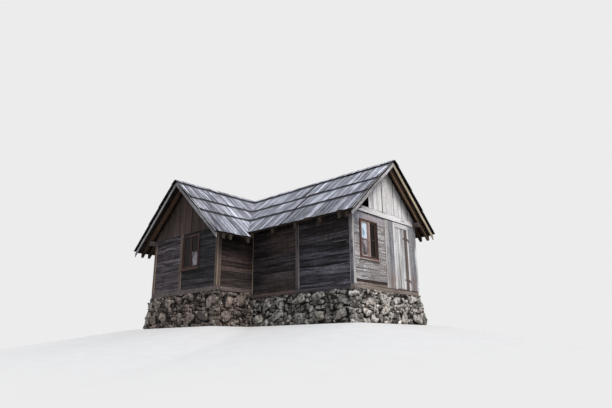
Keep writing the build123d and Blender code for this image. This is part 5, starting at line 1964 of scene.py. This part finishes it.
@dataclass
class Stage:
    """Pale ground, even sky, one soft sun and the camera at the photo's angle."""

    reach: float = 60.0
    cells: int = 300
    fall: float = 0.17
    depth: float = 2.4
    soft: float = 0.35
    camera_at: tuple[float, float, float] = (11.607, -11.151, -0.502)
    turns: tuple[float, float, float] = (42.58, 16.31, -0.43)
    focal_pixels: float = 476.6
    image_width: float = 612.0
    sensor: float = 36.0

    def ground(self) -> None:
        """Build the ground: level under the hut and falling smoothly away from it.

        The height is minus the fall times a softened distance from the L-shaped footprint, bent
        by a hyperbolic tangent so that it levels out at the full depth.
        """
        line = np.linspace(-1.0, 1.0, self.cells + 1)
        line = np.sign(line) * (0.25 * np.abs(line) + 0.75 * np.abs(line) ** 3) * self.reach
        x, y = np.meshgrid(line, line, indexing="ij")
        distance = np.minimum(self.away(x, y, "plinth_front", "plinth_gable", "plinth_back"),
                              self.away(x, y, "plinth_left", "plinth_wing_front", "plinth_wing_side"))
        distance = np.sqrt(distance ** 2 + self.soft ** 2) - self.soft
        z = -self.depth * np.tanh(self.fall * distance / self.depth)
        mesh = bpy.data.meshes.new("ground")
        mesh.from_pydata(np.stack([x, y, z], axis=-1).reshape(-1, 3).tolist(), [], grid(self.cells).tolist())
        mesh.shade_smooth()
        mesh.materials.append(self.ground_material())
        ground = placed("ground", mesh)

    @staticmethod
    def away(x: Array, y: Array, *nodes: str) -> Array:
        """Distance from the rectangle round some nodes, 0 inside it."""
        boxes = [corners(node) for node in nodes]
        low = np.min([box[0] for box in boxes], axis=0)
        high = np.max([box[1] for box in boxes], axis=0)
        dx = np.maximum(np.maximum(low[0] - x, x - high[0]), 0.0)
        dy = np.maximum(np.maximum(low[1] - y, y - high[1]), 0.0)
        return np.hypot(dx, dy)

    def ground_material(self) -> bpy.types.Material:
        """Pale ground that fades into the backdrop far away and is darker for light that bounces."""
        made = bpy.data.materials.new("pale_ground")
        made.use_nodes = True
        g = Graph(made.node_tree)
        shader = made.node_tree.nodes["Principled BSDF"]
        leave = made.node_tree.nodes["Material Output"]
        place = g.place()
        path = g.node("LightPath")
        speckle = g.span(g.noise(place, 2.5, 5.0), 0.3, 0.7, 0.97, 1.02)
        seen = g.scaled((222, 221, 219), speckle)
        g.feed(shader.inputs["Base Color"], g.blend(path.outputs["Is Camera Ray"], (150, 146, 140), seen))
        shader.inputs["Roughness"].default_value = 0.95
        shader.inputs["Specular IOR Level"].default_value = 0.1
        away = g.node("VectorMath", {"operation": "LENGTH"}, Vector=place).outputs["Value"]
        glow = g.node("Emission", Color=(236, 236, 236), Strength=1.0)
        faded = g.node("MixShader", Fac=g.times(g.span(away, 5.0, 11.5), path.outputs["Is Camera Ray"]))
        for socket, given in ((faded.inputs[1], shader), (faded.inputs[2], glow), (leave.inputs[0], faded)):
            g.feed(socket, given.outputs[0])
        return made

    def sky(self) -> None:
        """Set an even sky that looks nearly white where it is seen directly or in glass."""
        world = bpy.data.worlds.new("studio")
        bpy.context.scene.world = world
        world.use_nodes = True
        g = Graph(world.node_tree)
        shader = world.node_tree.nodes["Background"]
        path = g.node("LightPath").outputs
        seen = g.math("MAXIMUM", path["Is Camera Ray"],
                      g.math("MAXIMUM", path["Is Glossy Ray"], path["Is Transmission Ray"]))
        g.feed(shader.inputs["Color"], g.blend(seen, (232, 240, 255), (236, 236, 236)))
        g.feed(shader.inputs["Strength"], g.span(seen, 0.0, 1.0, 0.62, 1.0))

    def sun(self) -> None:
        """Hang one wide soft sun over the right of the hut."""
        lamp = bpy.data.lights.new("soft_sun", "SUN")
        lamp.energy = 2.65
        lamp.angle = math.radians(30.0)
        lamp.color = (1.0, 0.97, 0.93)
        placed("soft_sun", lamp).rotation_euler = (math.radians(48.0), 0.0, math.radians(74.0))

    def camera(self) -> None:
        """Set the camera from its place, its three turns and its focal length in pixels."""
        yaw, pitch, roll = (math.radians(turn) for turn in self.turns)
        level = math.cos(pitch)
        forward = np.array((-math.sin(yaw) * level, math.cos(yaw) * level, math.sin(pitch)))
        right = np.array((math.cos(yaw), math.sin(yaw), 0.0))
        up = np.cross(right, forward)
        cos, sin = math.cos(roll), math.sin(roll)
        turn = np.column_stack((right * cos + up * sin, up * cos - right * sin, -forward))
        data = bpy.data.cameras.new("photo_angle")
        data.sensor_fit = "HORIZONTAL"
        data.sensor_width = self.sensor
        data.lens = self.focal_pixels * self.sensor / self.image_width
        data.clip_end = 200.0
        holder = placed("photo_angle", data)
        holder.matrix_world = Matrix.Translation(self.camera_at) @ Matrix(turn.tolist()).to_4x4()
        bpy.context.scene.camera = holder

    def build(self) -> None:
        """Build the ground, the light and the camera."""
        self.ground()
        self.sky()
        self.sun()
        self.camera()
        bpy.context.scene.view_settings.view_transform = "Standard"


def main() -> None:
    """Build the hut's looks around the frame."""
    logging.basicConfig(level=logging.INFO, format="%(name)s %(message)s")
    DryStone().build()
    Timbers().build()
    Walls().build()
    Roof().build()
    gables()
    windows()
    DoorBay().build()
    RoofFrame().build()
    Stage().build()
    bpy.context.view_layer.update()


if __name__ == "__main__":
    main()
